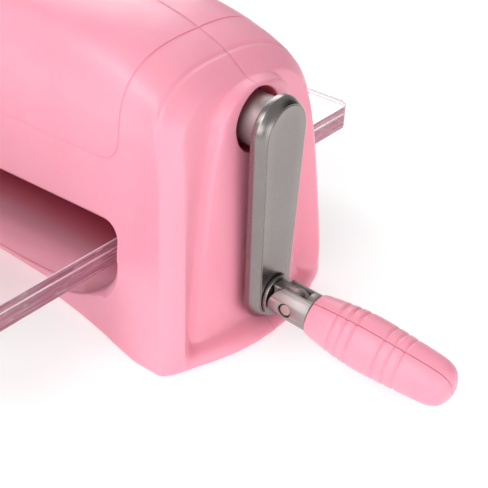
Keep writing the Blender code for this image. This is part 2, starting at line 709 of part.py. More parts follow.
def screw_places():
    """Where the housing's four screws and the frames' four screws go up through the base."""
    housing = [(x, y * side) for x, y in boss_places() for side in (1, -1)]
    frame_x = FRAME_X - FLANGE_REACH / 2
    frames = [(x * frame_x, y * FRAME_SCREW_DEPTH) for x in (-1, 1) for y in (-1, 1)]
    return housing, frames


def foot_places():
    return [(x * FOOT_X, y * FOOT_DEPTH) for x in (-1, 1) for y in (-1, 1)]


def make_base(finishes):
    stems = [circle(FOOT_STEM_R + TOUCH_GAP, place, SMALL_SEGMENTS) for place in foot_places()]
    base = new_object("base_plate", slab(base_outline(), stems, BASE_T), finishes["black_plastic"])
    housing, frames = screw_places()
    room = RUNNING_GAP
    profile = [
        (0, -OVERRUN), (SCREW_HEAD_R + room, -OVERRUN), (SCREW_HEAD_R + room, room),
        (SCREW_R + room, SCREW_HEAD_T + room), (SCREW_R + room, BASE_T + OVERRUN), (0, BASE_T + OVERRUN),
    ]
    for number, place in enumerate(housing + frames, 1):
        sink = cutter(f"base_countersink_{number}", turned(profile, SMALL_SEGMENTS), at=(*place, 0))
        boolean(base, "DIFFERENCE", sink)
    lengths = [SCREW_LENGTH] * len(housing) + [BASE_T + FRAME_T] * len(frames)
    names = [f"housing_screw_{i}" for i in range(1, 5)] + [f"frame_screw_{i}" for i in range(1, 5)]
    for name, place, length in zip(names, housing + frames, lengths):
        screw = [(0, room / 2), (SCREW_HEAD_R, room / 2), (SCREW_R, SCREW_HEAD_T + room / 2),
                 (SCREW_R, length), (0, length)]
        new_object(name, turned(screw, SMALL_SEGMENTS), finishes["roller_steel"], at=(*place, 0))
    foot = [
        (0, -FOOT_HEIGHT), (FOOT_R, -FOOT_HEIGHT), (FOOT_R, -TOUCH_GAP), (FOOT_STEM_R, -TOUCH_GAP),
        (FOOT_STEM_R, BASE_T), (0, BASE_T),
    ]
    for number, place in enumerate(foot_places(), 1):
        new_object(f"foot_{number}", turned(foot, BUSH_SEGMENTS), finishes["rubber"], at=(*place, 0))


def make_ties(finishes):
    low, high = -FRAME_X + TOUCH_GAP, FRAME_X - TOUCH_GAP
    end = FRAME_OUT_X + TOUCH_GAP + NUT_T + TOUCH_GAP
    nut_hole = circle(TIE_STUD_R + RUNNING_GAP, segments=SMALL_SEGMENTS)
    nut = slab(circle(NUT_R, segments=6), [nut_hole], NUT_T)
    for number, (z, y) in enumerate(tie_places(), 1):
        bar = turned(studded(TIE_R, TIE_STUD_R, low, high, -end, end), BUSH_SEGMENTS)
        new_object(f"tie_rod_{number}", bar, finishes["frame_steel"], at=(0, y, z), turn=ALONG_X)
        for side, turn in ((-1, AGAINST_X), (1, ALONG_X)):
            nut_name = f"tie_nut_{number}_{'left' if side < 0 else 'right'}"
            at = (side * (FRAME_OUT_X + TOUCH_GAP), y, z)
            new_object(nut_name, nut, finishes["roller_steel"], at=at, turn=turn)
    for number, (z, y) in enumerate(post_places(), 1):
        post = studded(POST_R, POST_STUD_R, FRAME_OUT_X + TOUCH_GAP, OUTER_PLATE_X - TOUCH_GAP,
                       FRAME_X, OUTER_PLATE_OUT_X)
        new_object(f"gear_plate_post_{number}", turned(post, SMALL_SEGMENTS), finishes["frame_steel"],
                   at=(0, y, z), turn=ALONG_X)


def make_train(finishes):
    """The two rollers, their gears and the bushes that they turn in."""
    steel, gears, bronze = finishes["roller_steel"], finishes["gear_steel"], finishes["bronze"]
    lower = empty("lower_roller_axis", (0, 0, LOWER_Z))
    upper = empty("upper_roller_axis", (0, 0, UPPER_Z))
    make_roller("lower_roller", lower, ROLLER_GEAR_X + GEAR_FACE + SHAFT_END / 2, steel)
    make_roller("upper_roller", upper, OUTER_PLATE_OUT_X + SHAFT_END / 2, steel)
    bore = SHAFT_R + TOUCH_GAP
    make_gear("lower_roller_gear", ROLLER_TEETH, bore, ROLLER_GEAR_X, lower, 0.5, gears)
    make_gear("upper_roller_gear", ROLLER_TEETH, bore, ROLLER_GEAR_X, upper, 0, gears)
    make_gear("drive_gear", DRIVE_TEETH, bore, DRIVE_GEAR_X, upper, 0, gears, 6)
    shaft_bore, crank_bore = SHAFT_R + RUNNING_GAP, CRANK_SHAFT_R + RUNNING_GAP
    for name, z in (("lower", LOWER_Z), ("upper", UPPER_Z)):
        make_bush(f"{name}_bush_left", shaft_bore, -FRAME_OUT_X, z, 1, bronze)
        make_bush(f"{name}_bush_right", shaft_bore, FRAME_OUT_X, z, -1, bronze)
    make_bush("crank_bush_inner", crank_bore, FRAME_OUT_X, CRANK_Z, -1, bronze)
    make_bush("crank_bush_outer", crank_bore, OUTER_PLATE_X, CRANK_Z, 1, bronze)
    make_bush("drive_bush", shaft_bore, OUTER_PLATE_X, UPPER_Z, 1, bronze)


# Crank, folding handle and grip

def arm_outline(x, shrink):
    """The crank arm's outline across X, drawn in by shrink: two round ends joined by straight flanks."""
    lean = math.asin((ARM_TOP_R - ARM_FOOT_R) / (ARM_REACH - ARM_TOP_DROP))
    points = []
    for centre, radius, start, end in (
        (-ARM_TOP_DROP, ARM_TOP_R, -lean, math.pi + lean),
        (-ARM_REACH, ARM_FOOT_R, math.pi + lean, TURN - lean),
    ):
        for i in range(ARM_STEPS + 1):
            angle = start + (end - start) * i / ARM_STEPS
            y = (radius - shrink) * math.cos(angle)
            points.append((x, y, centre + (radius - shrink) * math.sin(angle)))
    return points


def make_crank(finishes):
    metal, steel = finishes["satin_metal"], finishes["roller_steel"]
    crank = empty("crank_axis", (0, 0, CRANK_Z))
    make_gear("crank_pinion", PINION_TEETH, CRANK_SHAFT_R + TOUCH_GAP, DRIVE_GEAR_X, crank, 0,
              finishes["gear_steel"])
    hub_low = OUTER_PLATE_OUT_X + HUB_INNER_GAP
    hub_high = ARM_X - TOUCH_GAP
    bore, bore_end = CRANK_SHAFT_R + TOUCH_GAP, hub_high - COLLAR_T
    hub = [(bore, hub_low), (HUB_R, hub_low), (HUB_R, hub_high), (0, hub_high), (0, bore_end),
           (bore, bore_end)]
    new_object("crank_hub", turned(hub, 2 * SEGMENTS), metal, crank, turn=ALONG_X)
    shaft_low = FRAME_X - SHAFT_END - BUSH_RIM_T
    shaft = turned(rod(CRANK_SHAFT_R, shaft_low, bore_end - TOUCH_GAP))
    new_object("crank_shaft", shaft, steel, crank, turn=ALONG_X)
    sections = [
        arm_outline(ARM_X, ARM_BACK_CHAMFER), arm_outline(ARM_X + ARM_BACK_CHAMFER, 0),
        arm_outline(ARM_OUT_X - ARM_BEVEL_DEPTH, 0), arm_outline(ARM_OUT_X, ARM_BEVEL),
    ]
    new_object("crank_arm", loft(sections), metal, crank)
    root = empty("handle_root", (ARM_OUT_X, 0, -ARM_REACH), crank)
    collar = [(0, TOUCH_GAP), (COLLAR_R, TOUCH_GAP), (COLLAR_R, COLLAR_T), (0, COLLAR_T)]
    knuckle = new_object("handle_knuckle", turned(collar), metal, root, turn=ALONG_X)
    pin_hole = circle(PIN_R + RUNNING_GAP, segments=BUSH_SEGMENTS)
    side_view = tongue_outline(TONGUE_R, COLLAR_T / 2 - PIN_STANDOFF)
    tongue = cutter("tongue", slab(side_view, [pin_hole], TONGUE_T, -TONGUE_T / 2), root,
                    (PIN_STANDOFF, 0, 0), ALONG_Y)
    boolean(knuckle, "UNION", tongue)
    pin_half = math.sqrt(FERRULE_R ** 2 - PIN_HOLE_R ** 2) - RUNNING_GAP
    new_object("hinge_pin", turned(rod(PIN_R, -pin_half, pin_half), BUSH_SEGMENTS), metal, root,
               (PIN_STANDOFF, 0, 0), ALONG_Y)
    return empty("fold_axis", (PIN_STANDOFF, 0, 0), root, (0, DROOP, 0))


def tongue_outline(radius, root_x):
    """A tongue's side view: a round end about the pin, straight back to its root."""
    arc = [math.pi * (i / TONGUE_STEPS - 1 / 2) for i in range(TONGUE_STEPS + 1)]
    points = [(radius * math.cos(a), radius * math.sin(a)) for a in arc]
    return points + [(root_x, radius), (root_x, -radius)]


def make_handle(fold, finishes):
    """The forked spindle that folds on the pin, with a stop for the grip on its far end."""
    metal = finishes["satin_metal"]
    far = FERRULE_LENGTH + GRIP_LENGTH - GRIP_NOSE_WALL - TOUCH_GAP
    profile = [
        (0, -2 * FERRULE_R), (FERRULE_R, -2 * FERRULE_R), (FERRULE_R, FERRULE_LENGTH - CHEEK_GAP),
        (FERRULE_R - CHEEK_GAP, FERRULE_LENGTH), (SPINDLE_R, FERRULE_LENGTH),
        (SPINDLE_R, far - GRIP_STOP_T - TOUCH_GAP), (0, far - GRIP_STOP_T - TOUCH_GAP),
    ]
    fork = new_object("handle_fork", turned(profile), metal, fold, turn=ALONG_X)
    reach = FERRULE_LENGTH + GRIP_LENGTH
    side_view = [(-x, z) for x, z in tongue_outline(FERRULE_R + TOUCH_GAP, -reach)]
    cheeks = cutter("fork_side_view", slab(side_view, [], 4 * FERRULE_R, -2 * FERRULE_R), fold, turn=ALONG_Y)
    slot_end, slot_t = TONGUE_R + TOUCH_GAP, TONGUE_T + 2 * CHEEK_GAP
    slot_view = [(slot_end, -2 * FERRULE_R), (slot_end, 2 * FERRULE_R),
                 (-3 * FERRULE_R, 2 * FERRULE_R), (-3 * FERRULE_R, -2 * FERRULE_R)]
    slot = cutter("fork_slot", slab(slot_view, [], slot_t, -slot_t / 2), fold, turn=ALONG_Y)
    hole_cut = turned(rod(PIN_HOLE_R, -2 * FERRULE_R, 2 * FERRULE_R))
    pin_hole = cutter("fork_pin_hole", hole_cut, fold, turn=ALONG_Y)
    boolean(fork, "INTERSECT", cheeks)
    boolean(fork, "DIFFERENCE", slot)
    boolean(fork, "DIFFERENCE", pin_hole)
    stop = turned(rod(GRIP_STOP_R, far - GRIP_STOP_T, far))
    new_object("grip_stop", stop, finishes["roller_steel"], fold, turn=ALONG_X)


def grip_profile():
    """The grip's closed half section as (radius, length) points: rings outside, a stepped bore inside."""
    rings = []
    for share in GRIP_RING_SHARES:
        centre = share * GRIP_LENGTH
        rings += [(centre - RING_WIDTH / 2, 0), (centre, RING_DEPTH), (centre + RING_WIDTH / 2, 0)]
    outer = [(length * GRIP_LENGTH, radius * GRIP_R) for length, radius in GRIP_PROFILE_SHARES]

    def radius_at(length):
        for (near, near_r), (far, far_r) in zip(outer, outer[1:]):
            if near <= length <= far:
                return near_r + (far_r - near_r) * (length - near) / (far - near)
        return outer[-1][1]

    spots = [(length, radius) for length, radius in outer
             if all(abs(length - middle) > RING_CLEARANCE for middle, _ in rings[1::3])]
    spots += [(length, radius_at(length) - depth) for length, depth in rings]
    spots.sort()
    bore = SPINDLE_R + RUNNING_GAP
    stop_r = GRIP_STOP_R + RUNNING_GAP
    nose = GRIP_LENGTH - GRIP_NOSE_WALL
    inner = [(0, GRIP_LENGTH), (0, nose), (stop_r, nose), (stop_r, nose - GRIP_STOP_ROOM),
             (bore, nose - GRIP_STOP_ROOM), (bore, 0)]
    return [(radius, length) for length, radius in spots] + inner


def half_turned(profile, segments):
    """A closed (radius, length) profile turned half way round X, from -Y over +Z to +Y."""
    def make(bm):
        arcs = []
        for radius, length in profile:
            if radius == 0:
                arcs.append([bm.verts.new((length, 0, 0))] * (segments + 1))
                continue
            angles = [math.pi * i / segments for i in range(segments + 1)]
            arcs.append([bm.verts.new((length, -radius * math.cos(a), radius * math.sin(a))) for a in angles])
        for one, other in zip(arcs, arcs[1:] + arcs[:1]):
            for i in range(segments):
                corners = dict.fromkeys((one[i], one[i + 1], other[i + 1], other[i]))
                if len(corners) > 2:
                    bm.faces.new(corners)
        bm.faces.new([arc[0] for arc in arcs])
        bm.faces.new([arc[-1] for arc in arcs])
        bmesh.ops.recalc_face_normals(bm, faces=bm.faces)
    return make


def make_grip(fold, finish):
    """Two moulded halves round the spindle, parted along a plane through its axis."""
    axis = empty("grip_axis", (FERRULE_LENGTH + TOUCH_GAP, 0, 0), fold)
    maker = half_turned(grip_profile(), GRIP_SEGMENTS)
    for name, half_turn in (("grip_half_inner", 0), ("grip_half_outer", math.pi)):
        angle = GRIP_SEAM_TILT - math.pi / 2 + half_turn
        lift = SEAM_GAP / 2
        at = (0, -lift * math.sin(angle), lift * math.cos(angle))
        new_object(name, maker, finish, axis, at, (angle, 0, 0))


def make_plates(finish):
    """The cutting plate lies on the platform plate, and both pass between the rollers."""
    outline = rounded_rectangle(PLATE_WIDTH / 2, PLATE_LENGTH / 2, PLATE_CORNER_R)
    feed = empty("feed", (0, 0, PLATE_BOTTOM_Z))
    new_object("platform_plate", slab(outline, [], PLATFORM_PLATE_T), finish, feed)
    new_object("cutting_plate", slab(outline, [], CUTTING_PLATE_T), finish, feed,
               (0, 0, PLATFORM_PLATE_T + TOUCH_GAP))


def clear_scene():
    for old in list(bpy.data.objects):
        bpy.data.objects.remove(old, do_unlink=True)


def main():
    clear_scene()
    finishes = make_materials()
    make_housing("front_shell", -1, finishes["pink_plastic"])
    make_housing("rear_shell", 1, finishes["pink_plastic"])
    make_base(finishes)
    make_frames(finishes["frame_steel"])
    make_ties(finishes)
    make_train(finishes)
    fold = make_crank(finishes)
    make_handle(fold, finishes)
    make_grip(fold, finishes["pink_plastic"])
    make_plates(finishes["clear_acrylic"])


main()
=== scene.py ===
# The looks of a hand cranked die cutting machine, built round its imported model.
# Metres, +Z up, as in the model. X runs along the rollers towards the crank, Y along the feed.

import json
import math

import bmesh
import bpy
import numpy as np
from mathutils import Matrix, Vector
from mathutils.bvhtree import BVHTree


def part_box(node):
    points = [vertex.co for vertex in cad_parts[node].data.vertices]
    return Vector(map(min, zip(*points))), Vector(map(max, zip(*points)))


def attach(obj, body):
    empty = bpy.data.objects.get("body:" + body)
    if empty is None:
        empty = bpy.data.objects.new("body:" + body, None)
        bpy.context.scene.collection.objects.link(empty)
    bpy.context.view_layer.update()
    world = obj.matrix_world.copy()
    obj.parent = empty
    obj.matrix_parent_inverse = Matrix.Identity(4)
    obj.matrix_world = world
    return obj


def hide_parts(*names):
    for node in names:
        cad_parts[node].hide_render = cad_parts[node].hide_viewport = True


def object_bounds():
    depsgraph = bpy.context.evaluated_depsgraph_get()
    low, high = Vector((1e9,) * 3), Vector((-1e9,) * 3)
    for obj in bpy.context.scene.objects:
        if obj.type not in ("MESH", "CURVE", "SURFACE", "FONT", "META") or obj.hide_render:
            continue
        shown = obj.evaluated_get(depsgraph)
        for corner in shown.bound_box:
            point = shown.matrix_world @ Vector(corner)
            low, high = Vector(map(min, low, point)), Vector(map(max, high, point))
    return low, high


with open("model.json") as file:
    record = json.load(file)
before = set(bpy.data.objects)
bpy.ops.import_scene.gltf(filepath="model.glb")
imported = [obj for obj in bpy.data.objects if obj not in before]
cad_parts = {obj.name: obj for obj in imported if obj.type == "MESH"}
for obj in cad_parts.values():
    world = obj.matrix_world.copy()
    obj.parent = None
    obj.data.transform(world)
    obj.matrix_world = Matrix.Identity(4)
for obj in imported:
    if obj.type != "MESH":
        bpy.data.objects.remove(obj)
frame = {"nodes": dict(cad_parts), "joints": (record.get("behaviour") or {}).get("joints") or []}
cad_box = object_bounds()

MM = 0.001
NEARLY_ZERO = MM ** 3

# Sizes that the frame gives
CRANK_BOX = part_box("crank_arm")
SHELL_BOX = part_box("front_shell")
HUB_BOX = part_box("crank_hub")
KNUCKLE_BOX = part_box("handle_knuckle")
PLATFORM_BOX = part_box("platform_plate")
CUTTING_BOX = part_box("cutting_plate")
ROLLER_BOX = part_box("lower_roller")
BASE_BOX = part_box("base_plate")
HUB_R = HUB_BOX[1].y
CRANK_Z = (HUB_BOX[0].z + HUB_BOX[1].z) / 2
END_X = SHELL_BOX[1].x
CROWN_Z = SHELL_BOX[1].z
DRUM_RISE = CROWN_Z - CRANK_Z
PLATE_HALF = PLATFORM_BOX[1].x
PLATE_TOP_Z = CUTTING_BOX[1].z
PLATE_BOTTOM_Z = PLATFORM_BOX[0].z
ROLLER_R = ROLLER_BOX[1].y
BASE_T = BASE_BOX[1].z

# Housing
MOUTH_HALF = PLATE_HALF + 4.8 * MM
END_LENGTH = END_X - MOUTH_HALF
DRUM_HALF_DEPTH = 45.5 * MM
SKIRT_HEIGHT = 14 * MM
WALL = 2.6 * MM
LINER_T = 2.0 * MM
HALF_SEAM = 0.15 * MM
SEAM_LIP = 0.22 * MM
SEAM_DROP = 0.12 * MM
BASE_EDGE_R = 0.8 * MM
MOUTH_TOP_Z = PLATE_TOP_Z + 9.6 * MM
MOUTH_CORNER_R = 7.5 * MM
MOUTH_EDGE_R = 0.9 * MM
MOUTH_ROOF_EDGE_R = 2.5 * MM
MOUTH_SILL_EDGE_R = 5.0 * MM
MOUTH_REACH = 70 * MM
SILL_Z = PLATE_BOTTOM_Z - 1.5 * MM
SILL_FOOT = 3.5 * MM
SILL_NOSE = 29 * MM
SILL_SPREAD = 7 * MM
MOUTH_IN_Y = ROLLER_R + 1.5 * MM
MOUTH_SIDE_STEPS, MOUTH_CORNER_STEPS, MOUTH_ROOF_STEPS = 4, 12, 60
SILL_STEPS, SILL_DEPTH_STEPS, LINER_DEPTH_STEPS = 40, 12, 6
SILL_END_SHARE = 0.9
SILL_EDGE_SHARES = ((0.80, 0.94, 1.0), (0, 0.8, 0))
EDGE_TURNS = np.radians((0, 20, 40, 60, 78))
HOLE_R = 13.3 * MM
HOLE_EDGE_R = 0.8 * MM
HOLE_IN_X = 104 * MM
SLEEVE_X = 105.4 * MM
SLEEVE_T = 2.2 * MM
OVERRUN = 2 * MM
BEYOND_END = 5 * MM
SEAM_MISS = 0.5 * MM
ROUND_STEPS = 96
PANEL_HALF = 83.3 * MM
PANEL_LOW_Z = 80.7 * MM
PANEL_CORNER_R = 9 * MM
PANEL_BOW_SHARE = 0.35
GROOVE_R = 0.5 * MM
GROOVE_LIFT = 0.04 * MM
GROOVE_CENTRE_DROP = 20 * MM
GROOVE_DEGREES = 62
GROOVE_RAY_MM = 100
GAP = 0.3 * MM
BOSS_X = abs(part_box("housing_screw_1")[0].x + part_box("housing_screw_1")[1].x) / 2
BOSS_Y = 44.5 * MM
BOSS_R = 4.2 * MM
BOSS_HEIGHT = 16 * MM
SCREW_HOLE_R = 1.75 * MM
SCREW_LENGTH = 11 * MM

# One ring over the housing a row, from the middle out: X at the crown, the spring, the skirt's top and the
# base (shares of MOUTH_HALF up to 1, then 1 + a share of END_LENGTH), the crown's height (of DRUM_RISE), the
# depths at the spring, the skirt's top and the base (of DRUM_HALF_DEPTH), the spring's height (of CRANK_Z),
# the arch's roundness at the front and the rear, the flare down the side, the hem (0 to 1), and how far the
# fold at that ring is rounded, in mm.
RING_SHARES = (
    (0.00, 0.00, 0.00, 0.00, 1.000, 1.000, 0.950, 0.835, 0.94, 3.1, 2.7, 4.0, 0.0, 6.0),
    (0.49, 0.49, 0.49, 0.49, 0.981, 1.000, 0.960, 0.900, 0.94, 3.1, 2.7, 4.0, 0.0, 8.0),
    (0.73, 0.73, 0.73, 0.73, 0.943, 1.000, 0.990, 0.976, 0.94, 3.1, 2.7, 4.0, 0.0, 8.0),
    (0.90, 0.90, 0.90, 0.90, 0.867, 1.000, 1.020, 1.046, 0.94, 3.1, 2.7, 4.0, 0.0, 6.0),
    (1.015, 1.025, 1.030, 1.036, 0.790, 1.000, 1.045, 1.108, 0.94, 3.1, 2.7, 4.0, 0.0, 2.5),
    (1.185, 1.268, 1.330, 1.365, 0.722, 1.000, 1.140, 1.193, 0.94, 3.0, 2.55, 1.5, 0.0, 5.0),
    (1.323, 1.468, 1.657, 1.673, 0.643, 1.024, 1.197, 1.205, 0.94, 2.9, 2.15, 0.70, 0.0, 1.3),
    (1.422, 1.536, 1.721, 1.733, 0.547, 0.963, 1.121, 1.124, 0.94, 3.0, 2.0, 0.72, 0.0, 3.0),
    (1.524, 1.599, 1.779, 1.785, 0.446, 0.869, 1.011, 0.997, 0.94, 3.2, 2.0, 0.72, 0.3, 1.0),
    (1.548, 1.573, 1.635, 1.824, 0.424, 0.530, 0.802, 0.868, 1.00, 2.3, 2.3, 0.62, 1.0, 1.2),
    (1.652, 1.652, 1.664, 1.855, 0.402, 0.490, 0.768, 0.791, 1.00, 2.3, 2.3, 0.62, 1.0, 1.5),
    (1.677, 1.677, 1.692, 1.885, 0.380, 0.457, 0.735, 0.703, 1.00, 2.3, 2.3, 0.62, 1.0, 3.0),
    (1.677, 1.677, 1.724, 1.949, 0.250, 0.302, 0.485, 0.483, 1.00, 2.3, 2.3, 0.62, 1.0, 4.0),
    (1.677, 1.677, 1.744, 1.989, 0.125, 0.151, 0.242, 0.242, 1.00, 2.3, 2.3, 0.62, 1.0, 4.0),
    (1.677, 1.677, 1.750, 2.000, 0.000, 0.000, 0.000, 0.000, 1.00, 2.3, 2.3, 0.62, 1.0, 4.0),
)
RING_STEPS = (4, 4, 4, 5, 9, 14, 16, 9, 10, 8, 5, 5, 5, 5)
# The crease is pressed in along one ring, and fades from the crown past the drum and the spring to the base
CREASE_RING = 6
CREASE_DEPTH, CREASE_WIDTH = 0.75 * MM, 1.2 * MM
CREASE_DRUM_SHARE = 0.6
CREASE_FADE_SHARES = (1, 0.9, 0.5, 0.4)
CREASE_LEAST_WIDTH_SHARE = 0.6
# The hollow keeps a wall's distance from the first rings, and then has these of its own up to its end
CAVITY_RINGS, CAVITY_THINNING = 6, 3
CAVITY_SHARES = (
    (1.475, 1.495, 1.560, 1.700, 0.375, 0.755, 0.790, 0.900, 0.92, 3.5, 2.45, 3.0, 0.0, 0),
    (1.545, 1.548, 1.590, 1.760, 0.335, 0.480, 0.720, 0.760, 1.00, 2.3, 2.3, 0.62, 0.0, 0),
    (1.545, 1.548, 1.600, 1.860, 0.160, 0.240, 0.360, 0.380, 1.00, 2.3, 2.3, 0.62, 0.0, 0),
    (1.545, 1.548, 1.605, 1.900, 0.000, 0.000, 0.000, 0.000, 1.00, 2.3, 2.3, 0.62, 0.0, 0),
)
# The skirt: shares of its run outwards and of its height, plain and with the hem
PLAIN_SKIRT_SHARES = ((0, 1), (0.14, 0.70), (0.42, 0.42), (0.74, 0.20), (0.92, 0.08), (1.0, 0.0))
HEM_SKIRT_SHARES = ((0, 1), (0.22, 0.50), (0.42, 0.42), (0.78, 0.31), (0.97, 0.14), (1.0, 0.0))
ARCH_STEPS, SIDE_STEPS, SKIRT_STEPS = 34, 26, 18
EVEN_ARCH = 1.55
ARCH_SOFTNESS, SPRING_SOFTNESS, SKIRT_SOFTNESS = 0.5 * MM, 4 * MM, 2.2 * MM
SPRING_SPAN = 5
BASE_SOFTNESS = (0.6 * MM, 0.3 * MM, 0)

# Crank, handle and grip
ARM_LOW_X, ARM_HIGH_X = CRANK_BOX[0].x, CRANK_BOX[1].x
ARM_TOP_R = CRANK_BOX[1].y
ARM_FOOT_R = 12.2 * MM
FOOT_Z = CRANK_BOX[0].z + ARM_FOOT_R
ARM_TOP_Z = CRANK_BOX[1].z - ARM_TOP_R
ARM_BEVEL = 2.7 * MM
ARM_BEVEL_DEPTH = 4.2 * MM
ARM_BEVEL_BULGE = 0.25 * MM
ARM_BULGE_OUT_SHARE, ARM_BULGE_UP_SHARE = 0.54, 0.84
ARM_LEDGE = 0.36 * MM
ARM_LEDGE_DROP = 0.26 * MM
ARM_CORE_INSET = 9 * MM
ARM_EDGE_R = 0.45 * MM
ARM_BACK_R = 0.7 * MM
ARM_END_STEPS, ARM_FLANK_STEPS, ARM_BEVEL_STEPS = 40, 12, 8
HUB_BORE_R = 5.3 * MM
HUB_EDGE_R = 0.5 * MM
FINE_EDGE = 0.22 * MM
TURNED_EDGE_R = 0.35 * MM
JOINTS = {joint["name"]: joint for joint in frame["joints"]}
PIN_X, PIN_Z = JOINTS["handle_fold"]["pos_m"][0], JOINTS["handle_fold"]["pos_m"][2]
COLLAR_R = 9.0 * MM
COLLAR_T = 1.8 * MM
TONGUE_R = 6.4 * MM
TONGUE_T = 6.0 * MM
PIN_R = 2.5 * MM
PIN_HOLE_R = 3.1 * MM
FERRULE_R = 8.1 * MM
FERRULE_LENGTH = 10.2 * MM
# The ferrule's edge at the grip: how far each of its points is from the ferrule's end, and how far in
FERRULE_EDGE = ((0.7 * MM, 0), (0.2 * MM, 0.15 * MM), (0, 0.6 * MM))
CHEEK_GAP = 0.4 * MM
SPINDLE_R = 3.0 * MM
DROOP = math.radians(4.8)
GRIP_LENGTH = 64 * MM
GRIP_R = 11.65 * MM
GRIP_NOSE_WALL = 4.5 * MM
GRIP_STOP_R = 4.6 * MM
GRIP_STOP_T = 1.8 * MM
GRIP_STOP_ROOM = 3.0 * MM
GRIP_SEAM_TILT = math.radians(27)
RUNNING_GAP = 0.25 * MM
RING_DEPTH = 0.62 * MM
RING_HALF_WIDTH = 1.1 * MM
GRIP_PROFILE_SHARES = (
    (0.000, 0.735), (0.010, 0.775), (0.075, 0.835), (0.170, 0.915), (0.270, 0.975), (0.370, 1.000),
    (0.470, 0.995), (0.580, 0.965), (0.700, 0.920), (0.800, 0.885), (0.880, 0.850), (0.930, 0.780),
    (0.968, 0.640), (0.990, 0.450), (1.000, 0.300),
)
GRIP_RING_SHARES = (0.190, 0.258, 0.328, 0.530, 0.602, 0.674)
# Where the grip's outer points lie along it, in mm: at its mouth, then from, to and how many
GRIP_MOUTH_MM, GRIP_BARREL_MM, GRIP_NOSE_MM = (0, 0.15, 0.4), (0.9, 61, 150), (61.3, 64, 14)
GRIP_MOUTH_EDGE = (0.5 * MM, 0.15 * MM)
GRIP_HALF_STEPS = 48

# Clear plates
PLATE_CORNER_R = 6 * MM
PLATE_ARRIS = 0.3 * MM
EDGE_SLOPE, FACE_SLOPE = 0.3, 0.9

# Looks
PINK = (0.93, 0.345, 0.455)
PALE_PINK = (0.94, 0.36, 0.468)
# Painted red shade: a deeper pink standing in for the dim red light inside the mouth and the crank's hole.
# The box depth and the fades below say where it is painted.
PAINTED_SHADE_PINK = (0.98, 0.10, 0.18)
MOUTH_SHADE_DEPTH = 33 * MM
MOUTH_SHADE_FADE = 8 * MM
HOLE_SHADE_FADE = 0.4 * MM

# Studio and camera. Each light has its place, what it aims at, its width and height, and its power in watts
STUDIO_LIGHT, DIM_LIGHT = 0.44, 0.01
STUDIO_COLOUR = (1.0, 0.99, 0.985)
DIM_SIDE = (0.60, 0.76, 0.20)
DIM_START, DIM_END = 0.68, 0.90
FLOOR_GLOW = 0.55
FLOOR_COLOUR = (0.62, 0.62, 0.62)
FLOOR_HALF = 1.6
FLOOR_DROP = 0.05 * MM
LIGHTS = {
    "key": ((-0.45, -1.25, 1.6), (0.02, 0, 0.05), (1.2, 0.9), 14),
    "front": ((0.15, -2.0, 0.85), (0, 0, 0.05), (1.8, 0.9), 14),
    "side": ((1.7, -0.35, 0.45), (0.1, 0, 0.05), (2.2, 1.2), 16),
    "back": ((-1.35, 1.15, 1.25), (-0.05, 0, 0.1), (1.7, 1.3), 22),
}
CAMERA_PLACE = (0.366651, -0.357921, 0.311035)
CAMERA_DEGREES = (35.509, 32.053, 3.686)
FOCAL_PIXELS = 1260.78
PHOTO_PIXELS = 488
SENSOR_MM = 36

TURN = 2 * math.pi


# Meshes

def mesh_object(name, points, faces):
    mesh = bpy.data.meshes.new(name)
    mesh.from_pydata([tuple(p) for p in points], [], faces)
    mesh.validate()
    bm = bmesh.new()
    bm.from_mesh(mesh)
    bmesh.ops.remove_doubles(bm, verts=bm.verts, dist=GAP / 100)
    bmesh.ops.dissolve_degenerate(bm, edges=bm.edges, dist=GAP / 100)
    bmesh.ops.recalc_face_normals(bm, faces=bm.faces)
    bm.to_mesh(mesh)
    bm.free()
    made = bpy.data.objects.new(name, mesh)
    bpy.context.scene.collection.objects.link(made)
    return made


def grid_faces(rows, columns, closed=False):
    """Faces of a grid stored row by row. closed joins each row's last point to its first."""
    faces = []
    for i in range(rows - 1):
        for j in range(columns if closed else columns - 1):
            k = (j + 1) % columns
            faces.append((i * columns + j, i * columns + k, (i + 1) * columns + k, (i + 1) * columns + j))
    return faces


def loft(name, loops):
    """A closed body through loops of as many points each, with flat ends."""
    count = len(loops[0])
    points = [p for loop in loops for p in loop]
    faces = grid_faces(len(loops), count, True)
    faces.append(tuple(range(count)))
    faces.append(tuple(range(count * (len(loops) - 1), count * len(loops))))
    return mesh_object(name, points, faces)


def circle(radius, segments):
    angles = [TURN * i / segments for i in range(segments)]
    return [(radius * math.cos(angle), radius * math.sin(angle)) for angle in angles]


def turned(name, profile, segments=64):
    """A piece turned about X from (x, radius) points. Its profile ends on the axis, or closes on itself."""
    unit, rings = circle(1, segments), []
    for x, radius in profile:
        rings.append([(x, radius * c, radius * s) for c, s in unit] if radius > 0 else [(x, 0, 0)] * segments)
    if profile[0][1] > 0:
        rings.append(rings[0])
    points = [p for ring in rings for p in ring]
    return mesh_object(name, points, grid_faces(len(rings), segments, True))


def soft_corner(before, corner, after, reach, steps):
    """Points along a softened corner, which starts and ends at a reach from it."""
    before, corner, after = Vector(before), Vector(corner), Vector(after)
    start = corner + (before - corner).normalized() * reach
    end = corner + (after - corner).normalized() * reach
    made = []
    for k in range(steps + 1):
        t = k / steps
        made.append(tuple(start * (1 - t) ** 2 + corner * 2 * t * (1 - t) + end * t ** 2))
    return made


def rounded(profile, radius, steps=4):
    """A closed profile with each corner that isn't on the axis rounded off."""
    made = []
    for i, corner in enumerate(profile):
        before, after = profile[i - 1], profile[(i + 1) % len(profile)]
        shorter = min((Vector(side) - Vector(corner)).length for side in (before, after))
        if corner[1] == 0 or shorter == 0:
            made.append(corner)
        else:
            made += soft_corner(before, corner, after, min(radius, shorter / 2.2), steps)
    return made


def arc(across, up, radius, start, end, count):
    """Points of a round stretch about a centre, from one angle to another."""
    return [(across + radius * math.cos(angle), up + radius * math.sin(angle))
            for angle in np.linspace(start, end, count)]


